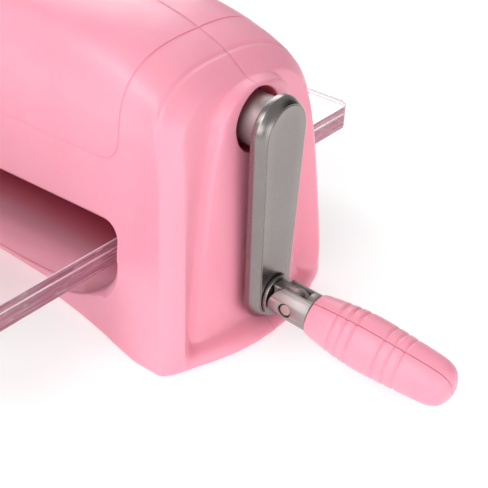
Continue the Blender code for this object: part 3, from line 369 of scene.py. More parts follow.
def slab(name, outline, thickness, axis):
    """A flat piece across an axis (0, 1 or 2), centred on the origin."""
    loops = []
    for side in (-0.5, 0.5):
        loop = []
        for a, b in outline:
            point = [a, b]
            point.insert(axis, side * thickness)
            loop.append(point)
        loops.append(loop)
    return loft(name, loops)


def cut(target, operation, other):
    step = target.modifiers.new(operation, "BOOLEAN")
    step.operation = operation
    step.object = other
    step.solver = "EXACT"


def settle(piece, *cutters, sharp=32):
    """Applies a piece's modifiers, removes its cutters and shades it smooth."""
    graph = bpy.context.evaluated_depsgraph_get()
    mesh = bpy.data.meshes.new_from_object(piece.evaluated_get(graph))
    piece.modifiers.clear()
    piece.data = mesh
    mesh.name = piece.name
    for other in cutters:
        bpy.data.objects.remove(other, do_unlink=True)
    mesh.shade_smooth()
    mesh.set_sharp_from_angle(angle=math.radians(sharp))
    return piece


def bevelled(piece, width, segments=2, angle=40):
    step = piece.modifiers.new("edges", "BEVEL")
    step.width = width
    step.segments = segments
    step.limit_method = "ANGLE"
    step.angle_limit = math.radians(angle)
    step.harden_normals = False
    return piece


# The housing's surface

def station(share):
    return share * MOUTH_HALF if share <= 1 else MOUTH_HALF + (share - 1) * END_LENGTH


def ring_points(row, side, inset=0.0, floor_z=0.0):
    """One ring's points over half the housing, from the crown on the seam down to the base.

    They are drawn on the front's side of the seam. side is -1 for the front half and 1 for the rear half.
    """
    x_crown, x_spring, x_low, x_base = (station(share) for share in row[:4])
    rise, depth, low_depth, base_depth, spring, front, rear, flare, hem = row[4:13]
    roundness = front if side < 0 else rear
    spring_z = spring * CRANK_Z
    crown_z = CRANK_Z + rise * DRUM_RISE - inset
    depths = [max(share * DRUM_HALF_DEPTH - inset, 0) for share in (depth, low_depth, base_depth)]
    even = np.linspace(0, 1, ARCH_STEPS + 1)
    step = even ** EVEN_ARCH / (even ** EVEN_ARCH + (1 - even) ** EVEN_ARCH)
    across = np.sin(step * math.pi / 2) ** (2 / roundness)
    up = np.clip(np.cos(step * math.pi / 2), 0, 1) ** (2 / roundness)
    up[-1] = 0
    arch = np.stack([x_spring + (x_crown - x_spring) * up, -depths[0] * across,
                     spring_z + (crown_z - spring_z) * up], axis=1)
    step = np.linspace(0, 1, SIDE_STEPS + 1)[1:]
    part = step ** flare
    flank = np.stack([x_spring + (x_low - x_spring) * part, -(depths[0] + (depths[1] - depths[0]) * part),
                      spring_z + (SKIRT_HEIGHT - spring_z) * step], axis=1)
    step = np.linspace(0, 1, SKIRT_STEPS + 1)[1:]
    shape = (1 - hem) * np.array(PLAIN_SKIRT_SHARES) + hem * np.array(HEM_SKIRT_SHARES)
    knots = np.linspace(0, 1, len(shape))
    run, height = np.interp(step, knots, shape[:, 0]), np.interp(step, knots, shape[:, 1])
    skirt = np.stack([x_low + (x_base - x_low) * run, -(depths[1] + (depths[2] - depths[1]) * run),
                      floor_z + (SKIRT_HEIGHT - floor_z) * height], axis=1)
    return np.concatenate([arch, flank, skirt])


def lengths_along(grid):
    """How far along a grid's first axis each of its points lies."""
    gaps = np.linalg.norm(np.diff(grid, axis=0), axis=2)
    return np.concatenate([np.zeros((1, grid.shape[1])), np.cumsum(gaps, axis=0)])


def unit(vectors):
    """Vectors made one long. One with no length stays so."""
    return vectors / np.maximum(np.linalg.norm(vectors, axis=-1, keepdims=True), NEARLY_ZERO)


def softened(grid, widths, reach=6):
    """Rounds the folds along a grid's first axis, each by a width along the surface."""
    lengths = lengths_along(grid)
    offsets = np.arange(-reach, reach + 1) / (reach + 1)
    weights = (1 + np.cos(math.pi * offsets)) / 2
    weights = weights / weights.sum()
    made = np.zeros_like(grid)
    for j in range(grid.shape[1]):
        at = lengths[:, j]
        for offset, weight in zip(offsets, weights):
            where = np.clip(at + offset * widths, 0, at[-1])
            for c in range(3):
                made[:, j, c] += weight * np.interp(where, at, grid[:, j, c])
    return made


def with_crease(grid, middle):
    """Presses the soft crease between the drum and its corner band into a grid, at its two rows."""
    across, along = np.gradient(grid, axis=0), np.gradient(grid, axis=1)
    normal = unit(np.cross(across, along))
    outward = np.sign((normal * (grid - (0, 0, CRANK_Z / 2))).sum(axis=2, keepdims=True))
    lengths = lengths_along(grid)
    knots = (0, ARCH_STEPS * CREASE_DRUM_SHARE, ARCH_STEPS, grid.shape[1])
    fade = np.interp(np.arange(grid.shape[1]), knots, CREASE_FADE_SHARES)
    press = np.zeros(grid.shape[:2])
    for row in middle:
        away = (lengths - lengths[row]) / (CREASE_WIDTH * np.maximum(fade, CREASE_LEAST_WIDTH_SHARE))
        press += np.exp(-away ** 2) * fade
    return grid - normal * outward * (press * CREASE_DEPTH)[:, :, None]


def housing_grid(side):
    """Half the housing's outer surface as a grid: one row a ring from the left end to the right."""
    rows = np.array(RING_SHARES)
    fine = []
    for i, count in enumerate(RING_STEPS):
        for k in range(count):
            fine.append(rows[i] + (rows[i + 1] - rows[i]) * k / count)
    fine.append(rows[-1])
    half = np.array([ring_points(row, side, floor_z=BASE_EDGE_R) for row in fine])
    soft = np.array([row[13] for row in fine]) * MM
    spare = RING_STEPS[-1] + RING_STEPS[-2]
    beyond = half[-2:-2 - spare:-1] * (1, -1, 1)
    right = np.concatenate([half, beyond])
    soft = np.concatenate([soft, soft[-2:-2 - spare:-1]])
    grid = np.concatenate([right[:0:-1] * (-1, 1, 1), right])
    widths = np.concatenate([soft[:0:-1], soft])
    grid = softened(grid, widths)[spare:-spare]
    down = np.full(grid.shape[1], ARCH_SOFTNESS)
    for k in range(-SPRING_SPAN, SPRING_SPAN + 1):
        down[ARCH_STEPS + k] = SPRING_SOFTNESS * (1 - abs(k) / (SPRING_SPAN + 1))
    down[-SKIRT_STEPS - 4:] = SKIRT_SOFTNESS
    down[-len(BASE_SOFTNESS):] = BASE_SOFTNESS
    grid = softened(np.swapaxes(grid, 0, 1), down)
    grid = np.swapaxes(grid, 0, 1)
    grid[0, :, 1] = grid[-1, :, 1] = 0
    grid[:, 0, 1] = 0
    grid[:, -1, 2] = BASE_EDGE_R
    centre, crease = len(grid) // 2, sum(RING_STEPS[:CREASE_RING])
    grid = with_crease(grid, (centre - crease, centre + crease))
    grid[:, 0, 1] = 0
    grid[:, -1, 2] = BASE_EDGE_R
    return with_base_edge(with_seam_lip(grid))


def with_seam_lip(grid):
    """Drops the seam's edge a little, with one more point a ring close beside it."""
    reach = np.maximum(np.linalg.norm(grid[:, 1:2] - grid[:, :1], axis=2, keepdims=True), MM / 100)
    near = grid[:, :1] + (grid[:, 1:2] - grid[:, :1]) * np.minimum(SEAM_LIP / reach, 0.5)
    edge = grid[:, :1].copy()
    along = np.gradient(edge[:, 0], axis=0)
    inward = unit(np.stack([along[:, 2], np.zeros(len(along)), -along[:, 0]], axis=1))
    edge[:, 0] += inward * SEAM_DROP
    return np.concatenate([edge, near, grid[:, 1:]], axis=1)


def with_base_edge(grid):
    """Rounds the bottom edge inwards below the last row of points."""
    base = grid[:, -1]
    along = np.gradient(base[:, :2], axis=0)
    outward = unit(np.stack([-along[:, 1], along[:, 0]], axis=1))
    outward *= np.where((outward * base[:, :2]).sum(axis=1) < 0, -1, 1)[:, None]
    outward[0] = (-1, 0)
    outward[-1] = (1, 0)
    rows = [grid]
    for angle in (0.35, 0.7, 1.05, 1.4):
        row = base.copy()
        row[:, :2] -= outward * BASE_EDGE_R * (1 - math.cos(angle))
        row[:, 2] = BASE_EDGE_R * (1 - math.sin(angle)) if angle < 1.4 else 0
        rows.append(row[:, None])
    return np.concatenate(rows, axis=1)


def front_solid(name, grid, seam_y, floor_z):
    """The closed body under a grid of rings, in front of the seam's plane and above a floor."""
    count, points = grid.shape[0], grid.shape[1]
    if seam_y or floor_z:
        top, bottom = grid[:, :1].copy(), grid[:, -1:].copy()
        top[:, :, 1], bottom[:, :, 2] = seam_y, floor_z
        grid = np.concatenate([top, grid, bottom], axis=1)
        first, last = grid[:1].copy(), grid[-1:].copy()
        first[:, :, 1] = last[:, :, 1] = seam_y
        grid = np.concatenate([first, grid, last])
        count, points = grid.shape[0], grid.shape[1]
    faces = grid_faces(count, points)
    top = [i * points for i in range(count)]
    bottom = [i * points + points - 1 for i in range(count)]
    seam = top + [(count - 1) * points + j for j in range(1, points)]
    seam += list(range(points - 1, 0, -1))
    faces += [tuple(seam), tuple(bottom)]
    return mesh_object(name, grid.reshape(-1, 3), faces)


def surface_tree(grid):
    return BVHTree.FromPolygons([tuple(p) for p in grid.reshape(-1, 3)], grid_faces(*grid.shape[:2]))


def hit(tree, start, direction):
    """Where a line from start meets the housing's front surface."""
    return tree.ray_cast(Vector(start), Vector(direction))[0]


# The feed mouth and the crank's hole, with their rounded edges

def mouth_loop(depth, grow=0.0):
    """The mouth's outline at a depth in front of the rollers' plane, as (x, z) points."""
    middle = (PLATE_TOP_Z + PLATE_BOTTOM_Z) / 2
    roof, foot = MOUTH_TOP_Z + grow, max(SILL_FOOT - grow, BASE_T + GAP)
    half, corner = MOUTH_HALF + grow, MOUTH_CORNER_R
    side, straight = roof - corner - middle, half - corner
    right = [(half, middle + side * k / MOUTH_SIDE_STEPS) for k in range(MOUTH_SIDE_STEPS)]
    right += arc(straight, roof - corner, corner, 0, math.pi / 2, MOUTH_CORNER_STEPS)
    points = right + [(straight * (1 - 2 * k / MOUTH_ROOF_STEPS), roof) for k in range(1, MOUTH_ROOF_STEPS)]
    points += [(-x, z) for x, z in reversed(right)]
    lower = []
    for across in np.sin(np.linspace(0, math.pi / 2, SILL_STEPS)):
        nose = SILL_NOSE + SILL_SPREAD * across ** 2 - grow
        swing = min(max((depth - MOUTH_IN_Y) / nose, 0), 1)
        height = foot + (SILL_Z - SILL_FOOT) * math.sqrt(1 - swing ** 2)
        lowest = middle - (middle - foot) * math.sqrt(1 - across ** 3)
        lower.append((across * half, max(height, lowest)))
    points += [(-x, z) for x, z in reversed(lower[1:-1])] + lower[:-1]
    return points


def outward_normals(loop):
    count = len(loop)
    centre = Vector((0, sum(z for x, z in loop) / count))
    made = []
    for i, point in enumerate(loop):
        along = Vector(loop[(i + 1) % count]) - Vector(loop[i - 1])
        normal = Vector((along.y, -along.x)).normalized()
        if normal.dot(Vector(point) - centre) < 0:
            normal = -normal
        made.append(normal)
    return made


def sill_depths(steps):
    """Depths from the mouth's inner end to near the sill's nose, closer together towards the nose."""
    return [MOUTH_IN_Y + SILL_NOSE * math.sin(math.pi / 2 * k / steps) for k in range(steps)]


def mouth_cutter(tree):
    depths = [MOUTH_IN_Y - OVERRUN, *sill_depths(SILL_DEPTH_STEPS)]
    loops = [[(x, -depth, z) for x, z in mouth_loop(depth)] for depth in depths]
    rim = mouth_loop(DRUM_HALF_DEPTH)
    normals = outward_normals(rim)
    for angle in EDGE_TURNS:
        loops.append(flared(tree, rim, normals, angle))
    loops.append([(x, -MOUTH_REACH, z) for x, y, z in loops[-1]])
    return loft("mouth_cutter", loops)


def edge_radius(x, z):
    """How far the mouth's edge is rounded: most at the sill's ends, least at its upright sides."""
    middle, half = (PLATE_TOP_Z + PLATE_BOTTOM_Z) / 2, abs(x) / MOUTH_HALF
    if z > middle:
        part = np.clip((z - middle) / (MOUTH_TOP_Z - middle), 0, 1) ** 3
        return MOUTH_EDGE_R + (MOUTH_ROOF_EDGE_R - MOUTH_EDGE_R) * part
    sunk = math.sin(math.pi * min((middle - z) / (middle - SILL_FOOT), 1)) if half > SILL_END_SHARE else 0
    part = max(sunk, float(np.interp(half, *SILL_EDGE_SHARES)))
    return MOUTH_EDGE_R + (MOUTH_SILL_EDGE_R - MOUTH_EDGE_R) * part


def flared(tree, rim, normals, angle):
    """The rim's loop where its rounded edge has turned by an angle from the mouth's wall."""
    loop = []
    for (x, z), normal in zip(rim, normals):
        radius = edge_radius(x, z)
        spread, depth = radius * (1 - math.cos(angle)), radius * (1 - math.sin(angle))
        at = Vector((x, z)) + normal * spread
        at.y = max(at.y, BASE_T / 2)
        place = hit(tree, (at.x, -MOUTH_REACH, at.y), (0, 1, 0))
        loop.append((at.x, place.y + depth, at.y))
    return loop


def hole_cutter(tree):
    loops = [[(HOLE_IN_X, HOLE_R * c, CRANK_Z + HOLE_R * s) for c, s in circle(1, ROUND_STEPS)]]
    for angle in EDGE_TURNS:
        radius = HOLE_R + HOLE_EDGE_R * (1 - math.cos(angle))
        loop = []
        for c, s in circle(radius, ROUND_STEPS):
            place = hit(tree, (END_X + BEYOND_END, -max(abs(c), SEAM_MISS), CRANK_Z + s), (-1, 0, 0))
            loop.append((place.x - HOLE_EDGE_R * (1 - math.sin(angle)), c, CRANK_Z + s))
        loops.append(loop)
    loops.append([(END_X + BEYOND_END, y, z) for x, y, z in loops[-1]])
    return loft("hole_cutter", loops)


def groove_path(tree):
    """The shallow groove that frames the drum's upper panel, from the left crown round to the right crown."""
    centre, off_seam = Vector((PANEL_HALF, 0, CRANK_Z - GROOVE_CENTRE_DROP)), Vector((0, SEAM_MISS, 0))
    right = []
    for angle in np.radians(np.linspace(0, GROOVE_DEGREES, 40)):
        way = Vector((0, -math.sin(angle), math.cos(angle)))
        place = hit(tree, centre + way * GROOVE_RAY_MM * MM - off_seam, -way)
        right.append(place + way * GROOVE_LIFT)
    low = right[-1].z
    front = [(PANEL_HALF - (low - z) ** 2 / (8 * PANEL_CORNER_R) * PANEL_BOW_SHARE, z)
             for z in np.linspace(low, PANEL_LOW_Z + PANEL_CORNER_R, 14)[1:]]
    turn_x = front[-1][0] - PANEL_CORNER_R
    front += [(turn_x + PANEL_CORNER_R * math.cos(a), PANEL_LOW_Z + PANEL_CORNER_R * (1 - math.sin(a)))
              for a in np.linspace(0, math.pi / 2, 12)[1:]]
    front += [(x, PANEL_LOW_Z) for x in np.linspace(turn_x, 0, 30)[1:]]
    right += [hit(tree, (x, -MOUTH_REACH, z), (0, 1, 0)) - Vector((0, GROOVE_LIFT, 0)) for x, z in front]
    right = [right[0] + Vector((0, OVERRUN, 0))] + right
    left = [Vector((-p.x, p.y, p.z)) for p in right[:-1]]
    return right + list(reversed(left))


def tube(name, path, radius, sides=10):
    loops = []
    for i, point in enumerate(path):
        along = (path[min(i + 1, len(path) - 1)] - path[max(i - 1, 0)]).normalized()
        one = along.cross(Vector((1, 0, 0)) if abs(along.x) < 0.9 else Vector((0, 0, 1))).normalized()
        if i:
            one = (last - along * last.dot(along)).normalized()
        last = one
        other = along.cross(one)
        loops.append([point + (one * c + other * s) for c, s in circle(radius, sides)])
    return loft(name, loops)


def cylinders(places, radius, low, high):
    made = []
    for number, (x, y) in enumerate(places):
        loops = [[(x + a, y + b, z) for a, b in circle(radius, 24)] for z in (low, high)]
        made.append(loft(f"post_{number}", loops))
    return made


def liner_solid():
    """The wall round the mouth, filled: what the hollow leaves standing there."""
    loops = []
    for depth in (*sill_depths(LINER_DEPTH_STEPS), DRUM_HALF_DEPTH, MOUTH_REACH):
        loops.append([(x, -depth, z) for x, z in mouth_loop(depth, LINER_T)])
    return loft("mouth_liner", loops)


def cavity_solid(side):
    """The hollow inside half the housing."""
    rings = [ring_points(row, side, WALL) for row in RING_SHARES[:CAVITY_RINGS]]
    rings += [ring_points(row, side) for row in CAVITY_SHARES]
    half = [np.concatenate([ring[::CAVITY_THINNING], ring[-1:]]) for ring in rings]
    grid = np.array([ring * (-1, 1, 1) for ring in half[:0:-1]] + half)
    return front_solid("cavity", grid, OVERRUN, -OVERRUN)


def make_shell(name, side):
    """One half of the housing, built in front of the seam and turned over for the rear."""
    grid = housing_grid(side)
    tree = surface_tree(grid)
    shell = front_solid(name, grid, 0, 0)
    cavity, liner = cavity_solid(side), liner_solid()
    sleeve_r = HOLE_R + SLEEVE_T
    profile = [(SLEEVE_X, 0), (SLEEVE_X, sleeve_r), (END_X, sleeve_r), (END_X, 0)]
    sleeve = turned("sleeve", profile, ROUND_STEPS)
    sleeve.data.transform(Matrix.Translation((0, 0, CRANK_Z)))
    places = [(side * BOSS_X, -BOSS_Y) for side in (-1, 1)]
    bosses = cylinders(places, BOSS_R, BASE_T + GAP, BOSS_HEIGHT)
    holes = cylinders(places, SCREW_HOLE_R, -OVERRUN, SCREW_LENGTH + GAP)
    for other in (liner, sleeve, *bosses):
        cut(cavity, "DIFFERENCE", other)
    groove = tube("panel_groove", groove_path(tree), GROOVE_R)
    cutters = [cavity, mouth_cutter(tree), hole_cutter(tree), groove, *holes]
    for other in cutters:
        cut(shell, "DIFFERENCE", other)
    settle(shell, liner, sleeve, *bosses, *cutters)
    shell.data.transform(Matrix.Translation((0, -HALF_SEAM, 0)))
    if side > 0:
        shell.data.transform(Matrix.Scale(-1, 4, (0, 1, 0)))
        shell.data.flip_normals()
    return shell


# Crank, folding handle and grip

def flank(start, end):
    """The points of a straight flank between two ends of an outline."""
    start, end = Vector(start), Vector(end)
    return [tuple(start + (end - start) * k / ARM_FLANK_STEPS) for k in range(1, ARM_FLANK_STEPS)]


def arm_loop(x, shrink):
    """The crank arm's outline across X, drawn in by shrink: two round ends joined by straight flanks."""
    lean = math.asin((ARM_TOP_R - ARM_FOOT_R) / (ARM_TOP_Z - FOOT_Z))
    top = arc(0, ARM_TOP_Z, ARM_TOP_R - shrink, -lean, math.pi + lean, ARM_END_STEPS)
    foot = arc(0, FOOT_Z, ARM_FOOT_R - shrink, math.pi + lean, TURN - lean, ARM_END_STEPS)
    outline = top + flank(top[-1], foot[0]) + foot + flank(foot[-1], top[0])
    return [(x, y, z) for y, z in outline]


def make_arm():
    """A flat bar with a bulging bevel round its face, and a fine ledge where the bevel ends."""
    low, high = ARM_HIGH_X - ARM_BEVEL_DEPTH, ARM_HIGH_X - ARM_LEDGE_DROP
    bevel = []
    for t in np.linspace(0, 1, ARM_BEVEL_STEPS + 1)[1:]:
        bulge = ARM_BEVEL_BULGE * math.sin(math.pi * t)
        x, inward = low + (high - ARM_HIGH_X + ARM_BEVEL_DEPTH) * t, (ARM_BEVEL - ARM_LEDGE) * t
        bevel.append((x + bulge * ARM_BULGE_OUT_SHARE, inward - bulge * ARM_BULGE_UP_SHARE))
    outline = [(ARM_LOW_X, ARM_CORE_INSET), (ARM_LOW_X, 0), (low, 0), bevel[0]]
    profile = [outline[0]]
    profile += soft_corner(*outline[:3], ARM_BACK_R, 5) + soft_corner(*outline[1:], ARM_EDGE_R, 5)
    profile += bevel[1:]
    profile += [(high, ARM_BEVEL), (ARM_HIGH_X, ARM_BEVEL + ARM_LEDGE / 2), (ARM_HIGH_X, ARM_CORE_INSET)]
    arm = loft("crank_arm_cast", [arm_loop(x, shrink) for x, shrink in profile])
    return settle(arm, sharp=25)


def make_hub():
    low, high = HUB_BOX[0].x, HUB_BOX[1].x
    profile = rounded([(low, HUB_BORE_R), (low, HUB_R), (high, HUB_R), (high, HUB_BORE_R)], HUB_EDGE_R)
    hub = turned("crank_hub_turned", profile, ROUND_STEPS)
    hub.data.transform(Matrix.Translation((0, 0, CRANK_Z)))
    return settle(hub)


def tongue_outline(radius, root_x, steps=24):
    return arc(0, 0, radius, -math.pi / 2, math.pi / 2, steps) + [(root_x, radius), (root_x, -radius)]


def pin_cylinder(name, radius, half, edge=0):
    """A cylinder along Y through the fold's axis."""
    profile = [(-half, 0), (-half, radius), (half, radius), (half, 0)]
    made = turned(name, rounded(profile, edge) if edge else profile, 48)
    made.data.transform(Matrix.Rotation(math.pi / 2, 4, "Z"))
    return made


def make_knuckle():
    face = KNUCKLE_BOX[0].x - PIN_X
    rim = face + COLLAR_T - GAP
    profile = rounded([(face, 0), (face, COLLAR_R), (rim, COLLAR_R), (rim, 0)], TURNED_EDGE_R)
    collar = turned("handle_knuckle_turned", profile, ROUND_STEPS)
    tongue = slab("tongue", tongue_outline(TONGUE_R, face + COLLAR_T / 2), TONGUE_T, 1)
    hole = pin_cylinder("tongue_hole", PIN_R + RUNNING_GAP, TONGUE_T)
    cut(collar, "UNION", tongue)
    cut(collar, "DIFFERENCE", hole)
    settle(collar, tongue, hole)
    settle(bevelled(collar, FINE_EDGE), sharp=35)
    collar.data.transform(Matrix.Translation((PIN_X, 0, PIN_Z)))
    return collar


def make_pin():
    half = math.sqrt(FERRULE_R ** 2 - PIN_HOLE_R ** 2) - RUNNING_GAP
    pin = pin_cylinder("hinge_pin_turned", PIN_R, half, TURNED_EDGE_R)
    pin.data.transform(Matrix.Translation((PIN_X, 0, PIN_Z)))
    return settle(pin)


def handle_place():
    """Where the handle's own X runs along its droop from the pin."""
    return Matrix.Translation((PIN_X, 0, PIN_Z)) @ Matrix.Rotation(DROOP, 4, "Y")


def make_fork():
    far = FERRULE_LENGTH + GRIP_LENGTH - GRIP_NOSE_WALL - 2 * GAP - GRIP_STOP_T
    profile = [(-2 * FERRULE_R, 0), (-2 * FERRULE_R, FERRULE_R)]
    profile += [(FERRULE_LENGTH - back, FERRULE_R - inward) for back, inward in FERRULE_EDGE]
    profile += [(FERRULE_LENGTH, SPINDLE_R), (far, SPINDLE_R), (far, 0)]
    fork = turned("handle_fork_turned", profile, ROUND_STEPS)
    side = [(-x, z) for x, z in tongue_outline(FERRULE_R, -FERRULE_LENGTH - GRIP_LENGTH, 40)]
    cheeks = slab("cheeks", side, 4 * FERRULE_R, 1)
    end = TONGUE_R + GAP
    slot_view = [(-3 * FERRULE_R, -2 * FERRULE_R), (end, -2 * FERRULE_R), (end, 2 * FERRULE_R),
                 (-3 * FERRULE_R, 2 * FERRULE_R)]
    slot = slab("fork_slot", slot_view, TONGUE_T + 2 * CHEEK_GAP, 1)
    hole = pin_cylinder("fork_hole", PIN_HOLE_R, 2 * FERRULE_R)
    cut(fork, "INTERSECT", cheeks)
    cut(fork, "DIFFERENCE", slot)
    cut(fork, "DIFFERENCE", hole)
    settle(fork, cheeks, slot, hole)
    settle(bevelled(fork, FINE_EDGE), sharp=35)
    fork.data.transform(handle_place())
    return fork


def grip_radius(length):
    """The grip's outside: a smooth barrel with two groups of three shallow rings."""
    shares = np.array(GRIP_PROFILE_SHARES)
    near = np.linspace(-0.03, 0.03, 9)
    spots = np.clip(length / GRIP_LENGTH + near * min(1, 12 * (1 - length / GRIP_LENGTH)), 0, 1)
    radius = float(np.interp(spots, shares[:, 0], shares[:, 1]).mean()) * GRIP_R
    for share in GRIP_RING_SHARES:
        away = abs(length - share * GRIP_LENGTH) / RING_HALF_WIDTH
        if away < 1:
            radius -= RING_DEPTH * (1 + math.cos(math.pi * away)) / 2
    return radius


def make_grip_half(name, half_turn):
    """Half the grip, which is split along its length. half_turn turns it to the other side."""
    lengths = np.concatenate([GRIP_MOUTH_MM, np.linspace(*GRIP_BARREL_MM), np.linspace(*GRIP_NOSE_MM)]) * MM
    outer = [(length, grip_radius(length)) for length in lengths]
    for i, inward in enumerate(GRIP_MOUTH_EDGE):
        outer[i] = (outer[i][0], outer[i][1] - inward)
    nose = GRIP_LENGTH - GRIP_NOSE_WALL
    bore, stop_r = SPINDLE_R + RUNNING_GAP, GRIP_STOP_R + RUNNING_GAP
    inner = [(GRIP_LENGTH, 0), (nose, 0), (nose, stop_r), (nose - GRIP_STOP_ROOM, stop_r),
             (nose - GRIP_STOP_ROOM, bore), (0, bore)]
    profile, segments = outer + inner, GRIP_HALF_STEPS
    points = []
    for x, radius in profile:
        for k in range(segments + 1):
            angle = math.pi * k / segments
            points.append((x, -radius * math.cos(angle), radius * math.sin(angle)))
    faces = grid_faces(len(profile), segments + 1)
    last = (len(profile) - 1) * (segments + 1)
    faces += [(last + k, last + k + 1, k + 1, k) for k in range(segments)]
    for edge in (0, segments):
        faces.append(tuple(i * (segments + 1) + edge for i in range(len(profile))))
    half = mesh_object(name, points, faces)
    angle = GRIP_SEAM_TILT - math.pi / 2 + half_turn
    apart = (-HALF_SEAM * math.sin(angle), HALF_SEAM * math.cos(angle))
    lift = Matrix.Translation((FERRULE_LENGTH + GAP, *apart))
    half.data.transform(handle_place() @ lift @ Matrix.Rotation(angle, 4, "X"))
    return settle(half, sharp=35)


# Clear plates

def rounded_rectangle(half_x, half_y, radius, steps=10):
    points = []
    for turn, (side_x, side_y) in enumerate(((1, 1), (-1, 1), (-1, -1), (1, -1))):
        for i in range(steps + 1):
            angle = (turn + i / steps) * math.pi / 2
            points.append((side_x * (half_x - radius) + radius * math.cos(angle),
                           side_y * (half_y - radius) + radius * math.sin(angle)))
    return points


def make_plate(name, box):
    """A clear sheet that fills a box about the feed's axis, with its arrises taken off."""
    half_x, half_y, high_z = box[1]
    low_z, edge = box[0].z, PLATE_ARRIS
    loops = []
    for z, inset in ((low_z, edge), (low_z + edge, 0), (high_z - edge, 0), (high_z, edge)):
        outline = rounded_rectangle(half_x - inset, half_y - inset, PLATE_CORNER_R - inset)
        loops.append([(x, y, z) for x, y in outline])
    return settle(loft(name, loops), sharp=20)


def with_sawn_edge(plate, finish, arris_finish):
    """Gives a plate's upright edge its own, duller finish, and its arrises a frosted one."""
    plate.data.materials.append(finish)
    plate.data.materials.append(arris_finish)
    for face in plate.data.polygons:
        upward = abs(face.normal.z)
        face.material_index = 1 if upward < EDGE_SLOPE else 2 if upward < FACE_SLOPE else 0


# Materials

class Finish:
    """A Principled material with its own nodes: where they start, and how they are joined."""

    def __init__(self, name, colour, roughness, metallic=0.0):
        self.material = bpy.data.materials.new(name)
        self.material.use_nodes = True
        self.tree = self.material.node_tree
        self.shader = self.tree.nodes["Principled BSDF"]
        self.set(**{"Base Color": (*colour, 1), "Roughness": roughness, "Metallic": metallic})
        self.place = self.tree.nodes.new("ShaderNodeTexCoord").outputs["Object"]

    def set(self, **values):
        for name, value in values.items():
            self.shader.inputs[name].default_value = value

    def node(self, kind, **values):
        made = self.tree.nodes.new(kind)
        for name, value in values.items():
            made.inputs[name.replace("_", " ")].default_value = value
        return made

    def link(self, out, into):
        self.tree.links.new(out, into)

    def noise(self, scale, detail=3.0, stretch=(1, 1, 1), roughness=0.55):
        place = self.tree.nodes.new("ShaderNodeMapping")
        place.inputs["Scale"].default_value = stretch
        self.link(self.place, place.inputs["Vector"])
        made = self.node("ShaderNodeTexNoise", Scale=scale, Detail=detail, Roughness=roughness)
        self.link(place.outputs["Vector"], made.inputs["Vector"])
        return made.outputs["Fac"]

    def spread(self, value, low, high, start=0.35, end=0.65):
        made = self.node("ShaderNodeMapRange")
        for name, number in (("From Min", start), ("From Max", end), ("To Min", low), ("To Max", high)):
            made.inputs[name].default_value = number
        self.link(value, made.inputs["Value"])
        return made.outputs["Result"]

    def mix(self, factor, one, other):
        made = self.tree.nodes.new("ShaderNodeMix")
        made.data_type = "RGBA"
        self.link(factor, made.inputs["Factor"])
        for socket, value in ((made.inputs[6], one), (made.inputs[7], other)):
            if isinstance(value, tuple):
                socket.default_value = (*value, 1)
            else:
                self.link(value, socket)
        return made.outputs[2]

    def bump(self, *layers):
        """Each layer is a height, a strength and a depth in metres."""
        normal = None
        for height, strength, depth in layers:
            made = self.node("ShaderNodeBump", Strength=strength, Distance=depth)
            self.link(height, made.inputs["Height"])
            if normal is not None:
                self.link(normal, made.inputs["Normal"])
            normal = made.outputs["Normal"]
        self.link(normal, self.shader.inputs["Normal"])

    def vectors(self, operation, value, *fixed):
        """The outputs of a vector sum on a value, with fixed vectors as its other inputs."""
        made = self.tree.nodes.new("ShaderNodeVectorMath")
        made.operation = operation
        self.link(value, made.inputs[0])
        for number, vector in enumerate(fixed, 1):
            made.inputs[number].default_value = vector
        return made.outputs

    def axes(self, value):
        made = self.tree.nodes.new("ShaderNodeSeparateXYZ")
        self.link(value, made.inputs["Vector"])
        return made.outputs

    def within(self, centre, half, soft):
        """1 inside a box about a centre, fading out over soft beyond it."""
        away = self.vectors("SUBTRACT", self.place, centre)["Vector"]
        away = self.axes(self.vectors("ABSOLUTE", away)["Vector"])
        made = None
        for axis, reach in zip("XYZ", half):
            part = self.spread(away[axis], 1, 0, reach, reach + soft)
            made = part if made is None else self.times(made, part)
        return made

    def near_crank(self, radius, soft):
        """1 in the crank's hole, fading out over soft beyond a radius."""
        flat = self.vectors("MULTIPLY_ADD", self.place, (0, 1, 1), (0, 0, -CRANK_Z))["Vector"]
        away = self.vectors("LENGTH", flat)["Value"]
        crank_end = self.spread(self.axes(self.place)["X"], 0, 1, HOLE_IN_X - OVERRUN, HOLE_IN_X)
        return self.times(crank_end, self.spread(away, 1, 0, radius, radius + soft))

    def times(self, one, other):
        made = self.tree.nodes.new("ShaderNodeMath")
        made.operation = "MULTIPLY"
        self.link(one, made.inputs[0])
        self.link(other, made.inputs[1])
        return made.outputs["Value"]

    def edges(self, start=0.52, end=0.60):
        """Grows from 0 to 1 on a piece's sharp edges, where lighter wear and a painted highlight go."""
        wear_and_highlight = self.tree.nodes.new("ShaderNodeNewGeometry")
        return self.spread(wear_and_highlight.outputs["Pointiness"], 0, 1, start, end)

    def into(self, name, value):
        self.link(value, self.shader.inputs[name])


def shade(colour, factor):
    return tuple(min(value * factor, 1) for value in colour)


